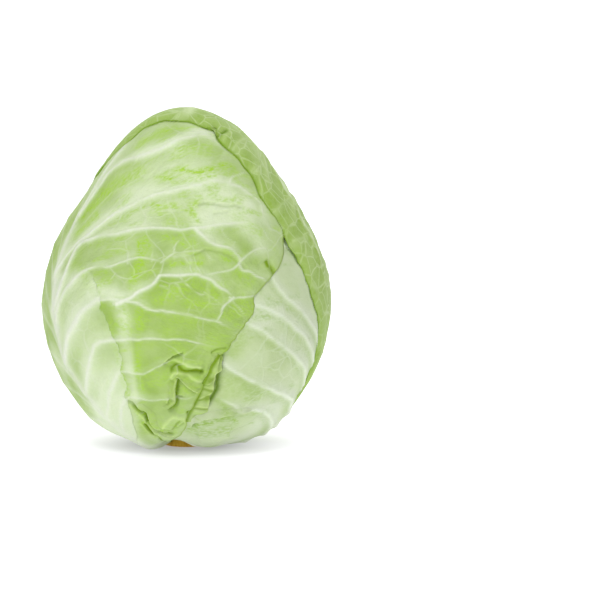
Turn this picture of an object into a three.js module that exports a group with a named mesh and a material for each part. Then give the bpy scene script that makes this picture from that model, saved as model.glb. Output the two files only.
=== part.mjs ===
// A whole pointed cabbage head, standing on its cut stem. Millimetres, +Z up, origin in the middle of the cut.
// Azimuth runs from the front (-Y) towards +X, elevation from the middle of the head upwards, in degrees.
import * as THREE from "three";

// The head's form: its radius from the middle, as a sphere with a crown, a heel and a flattened foot.
const MIDDLE_Z = 78;
const BELLY_RADIUS = 79.5;
const CROWN = { height: 28.5, sharpness: 6.8 };
const HEEL = { bulge: 2.8, elevation: -55, spread: 16 };
const FOOT = { flat: 3.3, sharpness: 25 };

// The stem: a cut stump that runs up inside the heart as the core, as [radius, height] pairs.
const STEM_PROFILE = [
  [0, 0], [13, 0], [14, 1.2], [14.2, 6], [14.8, 14], [16.5, 26], [16, 42],
  [13, 64], [9, 84], [5, 100], [2, 107], [0, 108.5],
];
const STEM_SIDES = 32;

// The leaves are wrapped one over the other from the inside out.
const WRAP = { depth: 6.2, atCrown: 9, atFoot: 11, sharpness: 4 }; // from the head's outside to the heart
const HEART_SHIFT = -1.6; // the heart sits a little towards -X, where fewer leaves lie over it
const BLADE = 0.9;
const EDGE_BLADE = 0.7;
const SIDE_RIB = { height: 0.8, atEdge: 0.4, fade: 0.1 };
const LAYER_GAP = 0.45;
const CLEARING = { passes: 4, samples: 7 }; // how finely each facet is tested against the leaves below
const MAP_SQUARE = 5; // degrees
const MIDRIB = { height: 2.6, width: 11, heightAtTip: 0.3, widthAtTip: 3 };
// A leaf's edge lifts in waves, but not within the tuck of a leaf above.
const EDGE = { lift: 1.5, band: 0.12, waves: 9, wave: 0.45, tuck: 12 };

// The heart: tightly packed leaves, shown as three overlapping edges that wind up round it.
const HEART = { sides: 36, rows: 18, leaves: 3, step: 1.5, twist: 50, rib: 0.8 };
const HEART_ENDS = { mouth: -73, crown: 86 }; // elevations of the socket's rim and of the last ring
const STEEPNESS = 0.8; // how far an edge's lip leans towards the next side of the heart
const SOCKET_CLEARANCE = 0.7;

const COLUMNS = [0, 0.045, 0.11, 0.2, 0.31, 0.43, 0.55, 0.67, 0.78, 0.88, 0.95, 1];
const ROW_SHARES = [0, 0.2, 0.8]; // a row on each side rib and one at each foot of it
const INNER_COLUMNS = [0, 0.07, 0.18, 0.31, 0.45, 0.6, 0.75, 0.89, 1];
const INNER_ROW_SHARES = [0, 0.5];

// Each leaf's side ribs from base to tip, in degrees on a map centred on the leaf, x across and y up:
// [the point on the midrib], [bend and end on the +x side], [bend and end on the -x side].
const FRONT_RIBS = [
  [[2, -76], [6, -76], [11, -77], [-4, -76], [-13, -78]],
  [[13, -66], [24, -58], [38, -63], [0, -60], [-34, -70]],
  [[15, -54], [26, -28], [61, -39], [0, -40], [-52, -55]],
  [[12, -43], [24, -12], [71, -24], [-2, -22], [-66, -40]],
  [[9, -33], [20, 3], [79, -15], [-6, -4], [-76, -24]],
  [[5, -20], [14, 24], [86, -5], [-8, 14], [-83, -8]],
  [[3, -9], [10, 34], [91, 14], [-12, 30], [-88, 9]],
  [[2, 1], [-1, 36], [93, 54], [-14, 42], [-90, 28]],
  [[0, 13], [12, 44], [64, 82], [-16, 56], [-84, 50]],
  [[-2, 34], [6, 64], [34, 95], [-12, 66], [-58, 78]],
  [[-2, 62], [4, 80], [14, 98], [-9, 82], [-26, 93]],
  [[-2, 88], [2, 92], [6, 95], [-6, 93], [-10, 95]],
];
const BACK_RIBS = [
  [[0, -95], [5, -95], [12, -97], [-5, -95], [-12, -97]],
  [[0, -86], [8, -74], [30, -88], [-8, -74], [-44, -92]],
  [[0, -70], [14, -46], [52, -70], [-14, -46], [-80, -72]],
  [[0, -53], [15, -24], [66, -48], [-16, -24], [-101, -46]],
  [[0, -36], [15, -4], [74, -26], [-16, -4], [-110, -14]],
  [[0, -18], [14, 16], [77, -4], [-15, 16], [-112, 14]],
  [[0, 0], [14, 29], [77, 18], [-16, 32], [-106, 42]],
  [[0, 18], [14, 42], [68, 40], [-16, 48], [-88, 67]],
  [[0, 37], [14, 54], [52, 58], [-15, 62], [-62, 82]],
  [[0, 57], [10, 66], [30, 73], [-11, 73], [-36, 86]],
  [[-2, 75], [3, 78], [8, 79], [-6, 80], [-12, 84]],
];
const RIGHT_RIBS = [
  [[0, -75], [5, -76], [13, -78], [-5, -76], [-13, -78]],
  [[0, -67], [14, -54], [44, -72], [-14, -56], [-52, -78]],
  [[0, -55], [20, -34], [68, -58], [-22, -38], [-86, -68]],
  [[0, -43], [20, -16], [83, -42], [-22, -22], [-101, -50]],
  [[0, -30], [18, 2], [91, -22], [-20, -4], [-108, -26]],
  [[0, -16], [16, 18], [95, 0], [-17, 14], [-107, 0]],
  [[0, -2], [14, 32], [94, 22], [-15, 30], [-101, 26]],
  [[0, 14], [12, 46], [86, 46], [-13, 46], [-88, 50]],
  [[0, 32], [10, 62], [66, 68], [-10, 62], [-68, 72]],
  [[0, 54], [7, 78], [36, 86], [-7, 78], [-38, 90]],
  [[0, 84], [3, 89], [9, 94], [-3, 89], [-9, 94]],
];
const INNER_RIBS = [
  [[0, -75], [5, -76], [13, -78], [-5, -76], [-13, -78]],
  [[0, -62], [12, -46], [48, -66], [-12, -46], [-48, -66]],
  [[0, -44], [14, -18], [67, -42], [-14, -18], [-67, -42]],
  [[0, -22], [13, 8], [75, -12], [-13, 8], [-75, -12]],
  [[0, 2], [12, 34], [73, 20], [-12, 34], [-73, 20]],
  [[0, 28], [9, 56], [56, 52], [-9, 56], [-56, 52]],
  [[0, 56], [5, 74], [26, 76], [-5, 74], [-26, 76]],
  [[0, 80], [2, 84], [7, 86], [-2, 84], [-7, 86]],
];

const LEAVES = [
  { name: "inner_leaf_1", azimuth: -127, elevation: 0, ribs: INNER_RIBS, inner: true, colour: 0xd6e0ae },
  { name: "inner_leaf_2", azimuth: 10, elevation: 0, ribs: INNER_RIBS, inner: true, colour: 0xd4dfa8 },
  { name: "inner_leaf_3", azimuth: 147, elevation: 0, ribs: INNER_RIBS, inner: true, colour: 0xd0dda2 },
  { name: "right_leaf", azimuth: 86, elevation: 0, ribs: RIGHT_RIBS, colour: 0xc9d9ad },
  { name: "front_leaf", azimuth: -60, elevation: 0, ribs: FRONT_RIBS, colour: 0xa9c878 },
  { name: "back_leaf", azimuth: 180, elevation: 20, ribs: BACK_RIBS, colour: 0x97b45f },
];

const ROUGHNESS = { leaf: 0.45, heart: 0.5, stem: 0.8 };
const STEM_COLOUR = 0xb59a5a;
const HEART_COLOUR = 0xe4e6bd;

const radians = THREE.MathUtils.degToRad;
const degrees = THREE.MathUtils.radToDeg;
const clamp = THREE.MathUtils.clamp;
const smooth = (x) => THREE.MathUtils.smoothstep(x, 0, 1);
const mix = THREE.MathUtils.lerp;

function directionAt(azimuth, elevation) {
  const a = radians(azimuth);
  const level = Math.cos(radians(elevation));
  return new THREE.Vector3(level * Math.sin(a), -level * Math.cos(a), Math.sin(radians(elevation)));
}

// The distance from the middle to the outside of the head, along a unit direction.
function headRadius(direction) {
  const rise = clamp(direction.z, -1, 1);
  const elevation = degrees(Math.asin(rise));
  const crown = CROWN.height * Math.max(rise, 0) ** CROWN.sharpness;
  const heel = HEEL.bulge * Math.exp(-(((elevation - HEEL.elevation) / HEEL.spread) ** 2));
  const foot = FOOT.flat * Math.max(-rise, 0) ** FOOT.sharpness;
  return BELLY_RADIUS + crown + heel - foot;
}

// The distance from the middle to the outside of the heart.
function heartRadius(direction) {
  const end = direction.z > 0 ? WRAP.atCrown : WRAP.atFoot;
  const depth = mix(WRAP.depth, end, Math.abs(direction.z) ** WRAP.sharpness);
  return headRadius(direction) - depth + HEART_SHIFT * direction.x;
}

// A point at a distance from the middle of the head.
function pointAt(direction, distance) {
  const point = direction.clone().multiplyScalar(distance);
  point.z += MIDDLE_Z;
  return point;
}

// Points spread evenly over a triangle, its corners among them.
function pointsOver([a, b, c]) {
  const points = [];
  const last = CLEARING.samples;
  for (let i = 0; i <= last; i++) {
    for (let j = 0; i + j <= last; j++) {
      const point = a.clone().multiplyScalar((last - i - j) / last);
      points.push(point.addScaledVector(b, i / last).addScaledVector(c, j / last));
    }
  }
  return points;
}

// A flat map of the directions round a centre that keeps their angle and bearing from it.
class LeafMap {
  constructor(azimuth, elevation) {
    this.centre = directionAt(azimuth, elevation);
    this.across = directionAt(azimuth + 90, 0);
    this.up = directionAt(azimuth, elevation + 90);
  }

  direction([x, y]) {
    const angle = radians(Math.hypot(x, y));
    const share = Math.sin(angle) / Math.max(Math.hypot(x, y), 1e-9);
    return this.centre.clone().multiplyScalar(Math.cos(angle))
      .addScaledVector(this.across, share * x)
      .addScaledVector(this.up, share * y);
  }

  position(direction) {
    const x = direction.dot(this.across);
    const y = direction.dot(this.up);
    const angle = degrees(Math.acos(clamp(direction.dot(this.centre), -1, 1)));
    const share = angle / Math.max(Math.hypot(x, y), 1e-9);
    return [x * share, y * share];
  }
}

// Where a curve through evenly spaced 2-D points is at a place counted in points.
function alongPoints(points, place) {
  const curve = new THREE.SplineCurve(points.map(([x, y]) => new THREE.Vector2(x, y)));
  const { x, y } = curve.getPoint(clamp(place / (points.length - 1), 0, 1));
  return [x, y];
}

function bend([from, by, to], t) {
  const share = [(1 - t) ** 2, 2 * t * (1 - t), t ** 2];
  return [0, 1].map((k) => share[0] * from[k] + share[1] * by[k] + share[2] * to[k]);
}

// How far a direction is from a chain of them, on a sphere of the belly's size, and how far along it.
function distanceToChain(direction, chain) {
  const line = new THREE.Line3();
  const nearest = new THREE.Vector3();
  let best = Infinity;
  let place = 0;
  for (let i = 0; i + 1 < chain.length; i++) {
    line.set(chain[i], chain[i + 1]);
    const share = line.closestPointToPointParameter(direction, true);
    const distance = line.at(share, nearest).distanceTo(direction);
    if (distance < best) {
      best = distance;
      place = (i + share) / (chain.length - 1);
    }
  }
  return { distance: best * BELLY_RADIUS, place };
}

function isInside([x, y], outline) {
  let inside = false;
  outline.forEach(([x1, y1], i) => {
    const [x2, y2] = outline[(i + 1) % outline.length];
    if (y1 > y !== y2 > y && x < ((x2 - x1) * (y - y1)) / (y2 - y1) + x1) inside = !inside;
  });
  return inside;
}

class Leaf {
  constructor({ name, azimuth, elevation, ribs, inner = false, colour }) {
    Object.assign(this, { name, ribs, colour });
    this.map = new LeafMap(azimuth, elevation);
    this.places = this.rowPlaces(inner ? INNER_ROW_SHARES : ROW_SHARES);
    const columns = inner ? INNER_COLUMNS : COLUMNS;
    this.us = [...columns.slice(1).reverse().map((u) => -u), ...columns];
    const ends = this.places.map((place) => this.onMap(place, 1));
    const otherEnds = this.places.map((place) => this.onMap(place, -1)).reverse();
    this.outline = [...ends, ...otherEnds];
    this.edgeChain = [...this.outline, this.outline[0]].map((p) => this.map.direction(p));
    this.midribChain = this.places.map((place) => this.map.direction(this.onMap(place, 0)));
  }

  // The rows of the grid, counted in side ribs.
  rowPlaces(shares) {
    const places = [];
    for (let rib = 0; rib + 1 < this.ribs.length; rib++) places.push(...shares.map((share) => rib + share));
    return [...places, this.ribs.length - 1];
  }

  // A place on the leaf: row in side ribs from the base, u from -1 at one edge through the midrib to 1.
  onMap(place, u) {
    const [bendIndex, endIndex] = u < 0 ? [3, 4] : [1, 2];
    const row = [0, bendIndex, endIndex].map((k) => alongPoints(this.ribs.map((rib) => rib[k]), place));
    return bend(row, Math.abs(u));
  }

  // Lays the leaf over those below it, which are laid already, and keeps its edge down under those above.
  lay(below, above) {
    this.spots = this.places.flatMap((place) => this.us.map((u) => {
      const [x, y] = this.onMap(place, u);
      const direction = this.map.direction([x, y]);
      const support = Math.max(heartRadius(direction), ...below.map((leaf) => leaf.topAt(direction)));
      const radius = support + LAYER_GAP + this.edgeLift(direction, place, u, above);
      return { x, y, direction, radius, thickness: this.thickness(direction, place, u) };
    }));
    for (let pass = 0; pass < CLEARING.passes; pass++) this.clear(below);
    this.squares = new Map();
    for (const facet of this.facetsOf((spot) => spot.radius + spot.thickness)) this.sortIntoSquares(facet);
  }

  // Facets are found by the squares of the map that they reach into, with a degree to spare.
  sortIntoSquares({ corners, box: [left, right, low, high] }) {
    const squareOf = (value) => Math.floor(value / MAP_SQUARE);
    for (let x = squareOf(left - 1); x <= squareOf(right + 1); x++) {
      for (let y = squareOf(low - 1); y <= squareOf(high + 1); y++) {
        const key = x + "," + y;
        this.squares.set(key, [...(this.squares.get(key) ?? []), corners]);
      }
    }
  }

  // Raises each facet of the underside that comes too near to a leaf below.
  clear(below) {
    const raises = new Map();
    for (const { spots, corners } of this.facetsOf((spot) => spot.radius)) {
      let raise = 0;
      for (const point of pointsOver(corners)) {
        const direction = point.clone().normalize();
        const top = Math.max(...below.map((leaf) => leaf.topAt(direction)), 0);
        raise = Math.max(raise, top + LAYER_GAP - point.length());
      }
      for (const spot of spots) raises.set(spot, Math.max(raise, raises.get(spot) ?? 0));
    }
    for (const [spot, raise] of raises) spot.radius += raise;
  }

  // The triangles of one face of the leaf: corners seen from the head's middle, and their box on the map.
  facetsOf(radiusOf) {
    const across = this.us.length;
    const facets = [];
    const add = (...indices) => {
      const spots = indices.map((i) => this.spots[i]);
      const corners = spots.map((spot) => spot.direction.clone().multiplyScalar(radiusOf(spot)));
      const xs = spots.map(({ x }) => x);
      const ys = spots.map(({ y }) => y);
      const box = [Math.min(...xs), Math.max(...xs), Math.min(...ys), Math.max(...ys)];
      facets.push({ spots, corners, box });
    };
    for (let row = 0; row + 1 < this.places.length; row++) {
      for (let column = 0; column + 1 < across; column++) {
        const at = row * across + column;
        add(at, at + 1, at + across + 1);
        add(at, at + across + 1, at + across);
      }
    }
    return facets;
  }

  // The distance from the head's middle to the leaf's upper face in a direction, or 0 where there is none.
  topAt(direction) {
    const key = this.map.position(direction).map((value) => Math.floor(value / MAP_SQUARE)).join();
    const ray = new THREE.Ray(new THREE.Vector3(), direction);
    const hit = new THREE.Vector3();
    let top = 0;
    for (const corners of this.squares.get(key) ?? []) {
      if (ray.intersectTriangle(...corners, false, hit)) top = Math.max(top, hit.length());
    }
    return top;
  }

  // 1 over the leaf and at its edge, fading out within the tuck.
  cover(direction) {
    if (isInside(this.map.position(direction), this.outline)) return 1;
    return 1 - smooth(distanceToChain(direction, this.edgeChain).distance / EDGE.tuck);
  }

  // The height of the midrib's round ridge.
  ridge(direction) {
    const { distance, place } = distanceToChain(direction, this.midribChain);
    const height = mix(MIDRIB.height, MIDRIB.heightAtTip, place);
    const width = mix(MIDRIB.width, MIDRIB.widthAtTip, place);
    return height * Math.exp(-((distance / width) ** 2));
  }

  edgeLift(direction, place, u, above) {
    const nearEdge = smooth((Math.abs(u) - 1 + EDGE.band) / EDGE.band);
    if (nearEdge === 0) return 0;
    const free = above.reduce((share, leaf) => share * (1 - leaf.cover(direction)), 1);
    const turn = (2 * Math.PI * EDGE.waves * place) / (this.ribs.length - 1);
    return free * nearEdge * EDGE.lift * (1 + EDGE.wave * Math.sin(turn + Math.sign(u)));
  }

  thickness(direction, place, u) {
    const onRib = Number.isInteger(place) && place > 0 && place < this.ribs.length - 1;
    const side = Math.abs(u);
    const rib = onRib ? mix(SIDE_RIB.height, SIDE_RIB.atEdge, side) * smooth((1 - side) / SIDE_RIB.fade) : 0;
    return mix(BLADE, EDGE_BLADE, side) + this.ridge(direction) + rib;
  }

  mesh() {
    const under = this.spots.map((spot) => pointAt(spot.direction, spot.radius));
    const over = this.spots.map((spot) => pointAt(spot.direction, spot.radius + spot.thickness));
    return namedMesh(this.name, plateGeometry(over, under, this.us.length), this.colour, ROUGHNESS.leaf);
  }
}

// A closed plate between two grids of points alike. Both faces are split into triangles along the same lines.
function plateGeometry(over, under, columns) {
  const rows = over.length / columns;
  const low = over.length;
  const index = [];
  for (let row = 0; row + 1 < rows; row++) {
    for (let column = 0; column + 1 < columns; column++) {
      const a = row * columns + column;
      const [b, c, d] = [a + 1, a + columns + 1, a + columns];
      index.push(a, b, c, a, c, d);
      index.push(low + a, low + c, low + b, low + a, low + d, low + c);
    }
  }
  const border = borderOf(rows, columns);
  border.forEach((at, i) => {
    const next = border[(i + 1) % border.length];
    index.push(low + at, low + next, next, low + at, next, at);
  });
  return geometryOf([...over, ...under], index);
}

// The grid's outer points in order, anticlockwise seen from above.
function borderOf(rows, columns) {
  const border = [];
  for (let column = 0; column < columns - 1; column++) border.push(column);
  for (let row = 0; row < rows - 1; row++) border.push(row * columns + columns - 1);
  for (let column = columns - 1; column > 0; column--) border.push((rows - 1) * columns + column);
  for (let row = rows - 1; row > 0; row--) border.push(row * columns);
  return border;
}

function geometryOf(points, index) {
  const geometry = new THREE.BufferGeometry().setFromPoints(points);
  geometry.setIndex(index);
  geometry.computeVertexNormals();
  return geometry;
}

function namedMesh(name, geometry, colour, roughness) {
  const mesh = new THREE.Mesh(geometry, new THREE.MeshStandardMaterial({ color: colour, roughness }));
  mesh.name = name;
  return mesh;
}

function stemMesh() {
  const profile = STEM_PROFILE.map(([radius, height]) => new THREE.Vector2(radius, height));
  const geometry = new THREE.LatheGeometry(profile, STEM_SIDES);
  geometry.rotateX(Math.PI / 2);
  return namedMesh("stem", weldedGeometry(geometry), STEM_COLOUR, ROUGHNESS.stem);
}

// A lathe's seam and its two ends on the axis are doubled, so its points are joined by place.
function weldedGeometry(geometry) {
  const places = new Map();
  const points = [];
  const position = geometry.getAttribute("position");
  const seen = Array.from({ length: position.count }, (_, i) => {
    const point = new THREE.Vector3().fromBufferAttribute(position, i);
    const key = point.toArray().map((value) => Math.round(value * 1e4)).join();
    if (!places.has(key)) places.set(key, points.push(point) - 1);
    return places.get(key);
  });
  const index = Array.from(geometry.getIndex().array, (i) => seen[i]);
  const whole = [];
  for (let i = 0; i < index.length; i += 3) {
    if (new Set(index.slice(i, i + 3)).size === 3) whole.push(...index.slice(i, i + 3));
  }
  return geometryOf(points, whole);
}

// The heart: leaf edges that wind up round a dense ball, with a blind socket below for the core.
function heartMesh() {
  const { sides, rows, leaves, step, twist, rib } = HEART;
  const valley = -SOCKET_CLEARANCE - step - rib;
  const perLeaf = sides / leaves;
  const points = [];
  for (let row = 0; row < rows; row++) {
    const up = row / (rows - 1);
    const elevation = mix(HEART_ENDS.mouth, HEART_ENDS.crown, up);
    const level = Math.cos(radians(elevation));
    const ridge = row % 2 === 0 ? rib * level : 0;
    for (let side = 0; side < sides; side++) {
      const inLeaf = side % perLeaf;
      const height = inLeaf === 0 ? step : (step * inLeaf) / perLeaf;
      const azimuth = (360 / sides) * (inLeaf === 0 ? side - STEEPNESS : side) + twist * up;
      const direction = directionAt(azimuth, elevation);
      points.push(pointAt(direction, heartRadius(direction) + valley + height * level + ridge));
    }
  }
  const socket = socketProfile(points[0].z);
  for (const [radius, z] of socket) {
    for (let side = 0; side < sides; side++) {
      const azimuth = radians((360 * side) / sides);
      points.push(new THREE.Vector3(radius * Math.sin(azimuth), -radius * Math.cos(azimuth), z));
    }
  }
  const apex = directionAt(0, 90);
  const top = points.push(pointAt(apex, heartRadius(apex) + valley)) - 1;
  const socketEnd = points.push(new THREE.Vector3(0, 0, STEM_PROFILE.at(-1)[1] + 2 * SOCKET_CLEARANCE)) - 1;
  const index = heartIndex(sides, rows, socket.length, top, socketEnd);
  return namedMesh("heart", geometryOf(points, index), HEART_COLOUR, ROUGHNESS.heart);
}

// The core's own profile above a height, made wider all round.
function socketProfile(fromHeight) {
  const inside = STEM_PROFILE.slice(0, -1).filter(([, height]) => height > fromHeight + SOCKET_CLEARANCE);
  return inside.map(([radius, height]) => [radius + 2 * SOCKET_CLEARANCE, height]);
}

// Rings of the outside from the mouth to the top, then the socket's rings from the mouth up to its end.
function heartIndex(sides, rows, socketRows, top, socketEnd) {
  const index = [];
  const ringPair = (low, high) => {
    for (let side = 0; side < sides; side++) {
      const next = (side + 1) % sides;
      index.push(low + side, low + next, high + next, low + side, high + next, high + side);
    }
  };
  const cap = (ring, end, isTop) => {
    for (let side = 0; side < sides; side++) {
      const next = (side + 1) % sides;
      index.push(...(isTop ? [ring + side, ring + next, end] : [ring + next, ring + side, end]));
    }
  };
  for (let row = 0; row + 1 < rows; row++) ringPair(row * sides, (row + 1) * sides);
  const socket = rows * sides;
  ringPair(socket, 0);
  for (let row = 0; row + 1 < socketRows; row++) ringPair(socket + (row + 1) * sides, socket + row * sides);
  cap((rows - 1) * sides, top, true);
  cap(socket + (socketRows - 1) * sides, socketEnd, false);
  return index;
}

const leaves = LEAVES.map((leaf) => new Leaf(leaf));
leaves.forEach((leaf, i) => leaf.lay(leaves.slice(0, i), leaves.slice(i + 1)));

const head = new THREE.Group();
head.add(stemMesh(), heartMesh(), ...leaves.map((leaf) => leaf.mesh()));
export default head;
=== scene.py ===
import itertools
import bpy
import numpy as np
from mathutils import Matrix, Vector


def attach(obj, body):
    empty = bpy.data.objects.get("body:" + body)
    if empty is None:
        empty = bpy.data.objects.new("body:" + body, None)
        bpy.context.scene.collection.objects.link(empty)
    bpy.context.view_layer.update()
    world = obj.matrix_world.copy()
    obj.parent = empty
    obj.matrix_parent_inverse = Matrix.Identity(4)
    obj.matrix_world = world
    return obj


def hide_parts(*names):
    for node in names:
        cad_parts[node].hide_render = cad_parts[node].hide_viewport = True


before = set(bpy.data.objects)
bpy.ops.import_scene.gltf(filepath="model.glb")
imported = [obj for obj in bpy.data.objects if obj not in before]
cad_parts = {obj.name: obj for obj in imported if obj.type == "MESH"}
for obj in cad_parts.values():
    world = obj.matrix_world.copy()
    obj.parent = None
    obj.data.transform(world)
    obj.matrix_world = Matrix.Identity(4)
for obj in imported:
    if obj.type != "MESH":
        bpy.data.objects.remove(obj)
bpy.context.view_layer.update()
print("frame loaded")

# A whole pointed cabbage head, leaf by leaf. Shapes are worked out in millimetres from the head's middle
# and put into the meshes in metres. A "way" is a unit direction from the middle; a leaf's map is flat,
# in degrees, x towards growing azimuth and y up.

headForm = {
    "middle": 78.0, "belly": 79.5,          # millimetres
    "crown": 28.5, "crownSharpness": 6.8,
    "heel": 2.8, "heelTilt": -55.0, "heelSpread": 16.0,
    "foot": 3.3, "footSharpness": 25.0,
    # bumps and dents: height, azimuth, tilt, spread in degrees. The dent is the arch where the stem shows.
    "lumps": [(-5.5, -11, -72, 6.2), (1.8, -40, -70, 7.5), (1.8, 18, -70, 8.0)],
    "layer": 1.5,                           # from one leaf's outside to the next one's
    "drape": 20.0,                          # how far beyond a leaf's edge the leaf below is still held down
    "floor": 0.15,                          # the lowest that any leaf may come
}


def headRadius(way):
    # a sphere, plus a crown that grows with a power of the rise, plus a bell-shaped heel, less a flattened
    # foot, and some lumps
    rise = np.clip(way[..., 2], -1, 1)
    tilt = np.degrees(np.arcsin(rise))
    crown = headForm["crown"] * np.maximum(rise, 0) ** headForm["crownSharpness"]
    heel = headForm["heel"] * np.exp(-((tilt - headForm["heelTilt"]) / headForm["heelSpread"]) ** 2)
    foot = headForm["foot"] * np.maximum(-rise, 0) ** headForm["footSharpness"]
    radius = headForm["belly"] + crown + heel - foot
    for height, azimuth, place, spread in headForm["lumps"]:
        away = np.degrees(np.arccos(np.clip(way @ wayAt(azimuth, place), -1, 1)))
        radius = radius + height * bell(away, spread)
    return radius


def ease(x):
    # 0 below 0, 1 above 1, and 3x^2 - 2x^3 between
    x = np.clip(x, 0, 1)
    return x * x * (3 - 2 * x)


def bell(distance, width):
    return np.exp(-(distance / width) ** 2)


def mix(a, b, share):
    return a + (b - a) * share


def fadedEnds(share, over):
    # 0 at both ends of a line, 1 between
    return ease(share / over) * ease((1 - share) / over)


def wayAt(azimuth, tilt):
    a, e = np.radians(azimuth), np.radians(tilt)
    return np.stack([np.cos(e) * np.sin(a), -np.cos(e) * np.cos(a), np.sin(e)], -1)


def softNoise(points, size, seed):
    # random values at the corners of cubes of one size, eased between the corners: -1 to 1
    values = np.random.default_rng(seed).uniform(-1, 1, (16, 16, 16))
    cube = np.floor(points / size).astype(int)
    part = ease(points / size - cube)
    total = 0
    for corner in itertools.product((0, 1), repeat=3):
        share = np.prod(np.where(corner, part, 1 - part), axis=-1)
        i, j, k = np.moveaxis((cube + corner) % 16, -1, 0)
        total = total + share * values[i, j, k]
    return total


class LeafMap:
    # keeps every direction's angle and bearing from the map's centre
    def __init__(self, azimuth, tilt):
        self.centre = wayAt(azimuth, tilt)
        self.across = wayAt(azimuth + 90, 0)
        self.up = wayAt(azimuth, tilt + 90)

    def ways(self, xy):
        angle = np.hypot(xy[..., 0], xy[..., 1])
        share = np.sin(np.radians(angle)) / np.maximum(angle, 1e-9)
        return (np.cos(np.radians(angle))[..., None] * self.centre
                + (share * xy[..., 0])[..., None] * self.across
                + (share * xy[..., 1])[..., None] * self.up)

    def positions(self, ways):
        x, y = ways @ self.across, ways @ self.up
        angle = np.degrees(np.arccos(np.clip(ways @ self.centre, -1, 1)))
        share = angle / np.maximum(np.hypot(x, y), 1e-9)
        return np.stack([x * share, y * share], -1)


def splineAt(table, places):
    # a smooth curve through evenly counted rows of a table, run on straight beyond both ends
    table = np.asarray(table, float)
    last = len(table) - 1
    held = np.clip(places, 0, last)
    i = np.minimum(held.astype(int), last - 1)
    t = (held - i)[:, None]
    p0, p1, p2, p3 = (table[np.clip(i + k, 0, last)] for k in (-1, 0, 1, 2))
    v0, v1 = (p2 - p0) / 2, (p3 - p1) / 2
    curve = (2 * p1 - 2 * p2 + v0 + v1) * t ** 3 + (3 * p2 - 3 * p1 - 2 * v0 - v1) * t ** 2 + v0 * t + p1
    return curve + (places - held)[:, None] * np.where(places[:, None] < 0, table[1] - table[0], 0)


def smoothLine(points, count=18):
    return splineAt(points, np.linspace(0, len(points) - 1, count))


def nearCurve(points, curve):
    # for each point: how far it is from a chain of points, how far along the chain (0 to 1), and on which
    # side: positive on the left of someone who walks along it on the outside of the head
    start, step = curve[:-1], np.diff(curve, axis=0)
    square = np.maximum((step ** 2).sum(1), 1e-12)
    along = points @ step.T - (start * step).sum(1)
    share = np.clip(along / square, 0, 1)
    gap = ((points ** 2).sum(1)[:, None] - 2 * points @ start.T + (start ** 2).sum(1)
           - 2 * share * along + share ** 2 * square)
    best = gap.argmin(1)
    rows = np.arange(len(points))
    distance = np.sqrt(np.maximum(gap[rows, best], 0))
    side = np.einsum("ij,ij->i", np.cross(step[best], points - start[best]), points)
    return distance, (best + share[rows, best]) / len(step), np.sign(side)


def isInside(xy, outline):
    # counts how often a line from the point towards -x crosses the outline
    x1, y1 = outline.T
    x2, y2 = np.roll(outline, -1, 0).T
    y = xy[:, 1:]
    crosses = (y1 > y) != (y2 > y)
    level = np.where(y2 == y1, 1e-9, y2 - y1)
    return (crosses & (xy[:, :1] < (x2 - x1) * (y - y1) / level + x1)).sum(1) % 2 == 1


def focus(values, spans):
    # how much closer the grid's lines are, span by span: (from, to, times)
    times = np.ones(len(values))
    for start, end, factor in spans:
        times[(values > start) & (values < end)] *= factor
    return times


plainLeaf = {
    "rowFocus": [], "columnFocus": [], "shiftPlus": [(0, 0, 0)], "shiftMinus": [(0, 0, 0)],
    "veins": [], "streaks": [], "folds": [], "lifts": [], "flaps": [], "pales": [], "shades": [],
    "netPlaces": [], "paleness": 0.0,
}
plainFlap = {
    "on": "leaf", "count": 50, "sunkLift": -0.5, "freeLift": 1.0, "bulge": 0.3, "crimp": 0.2, "crossings": [],
}


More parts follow.
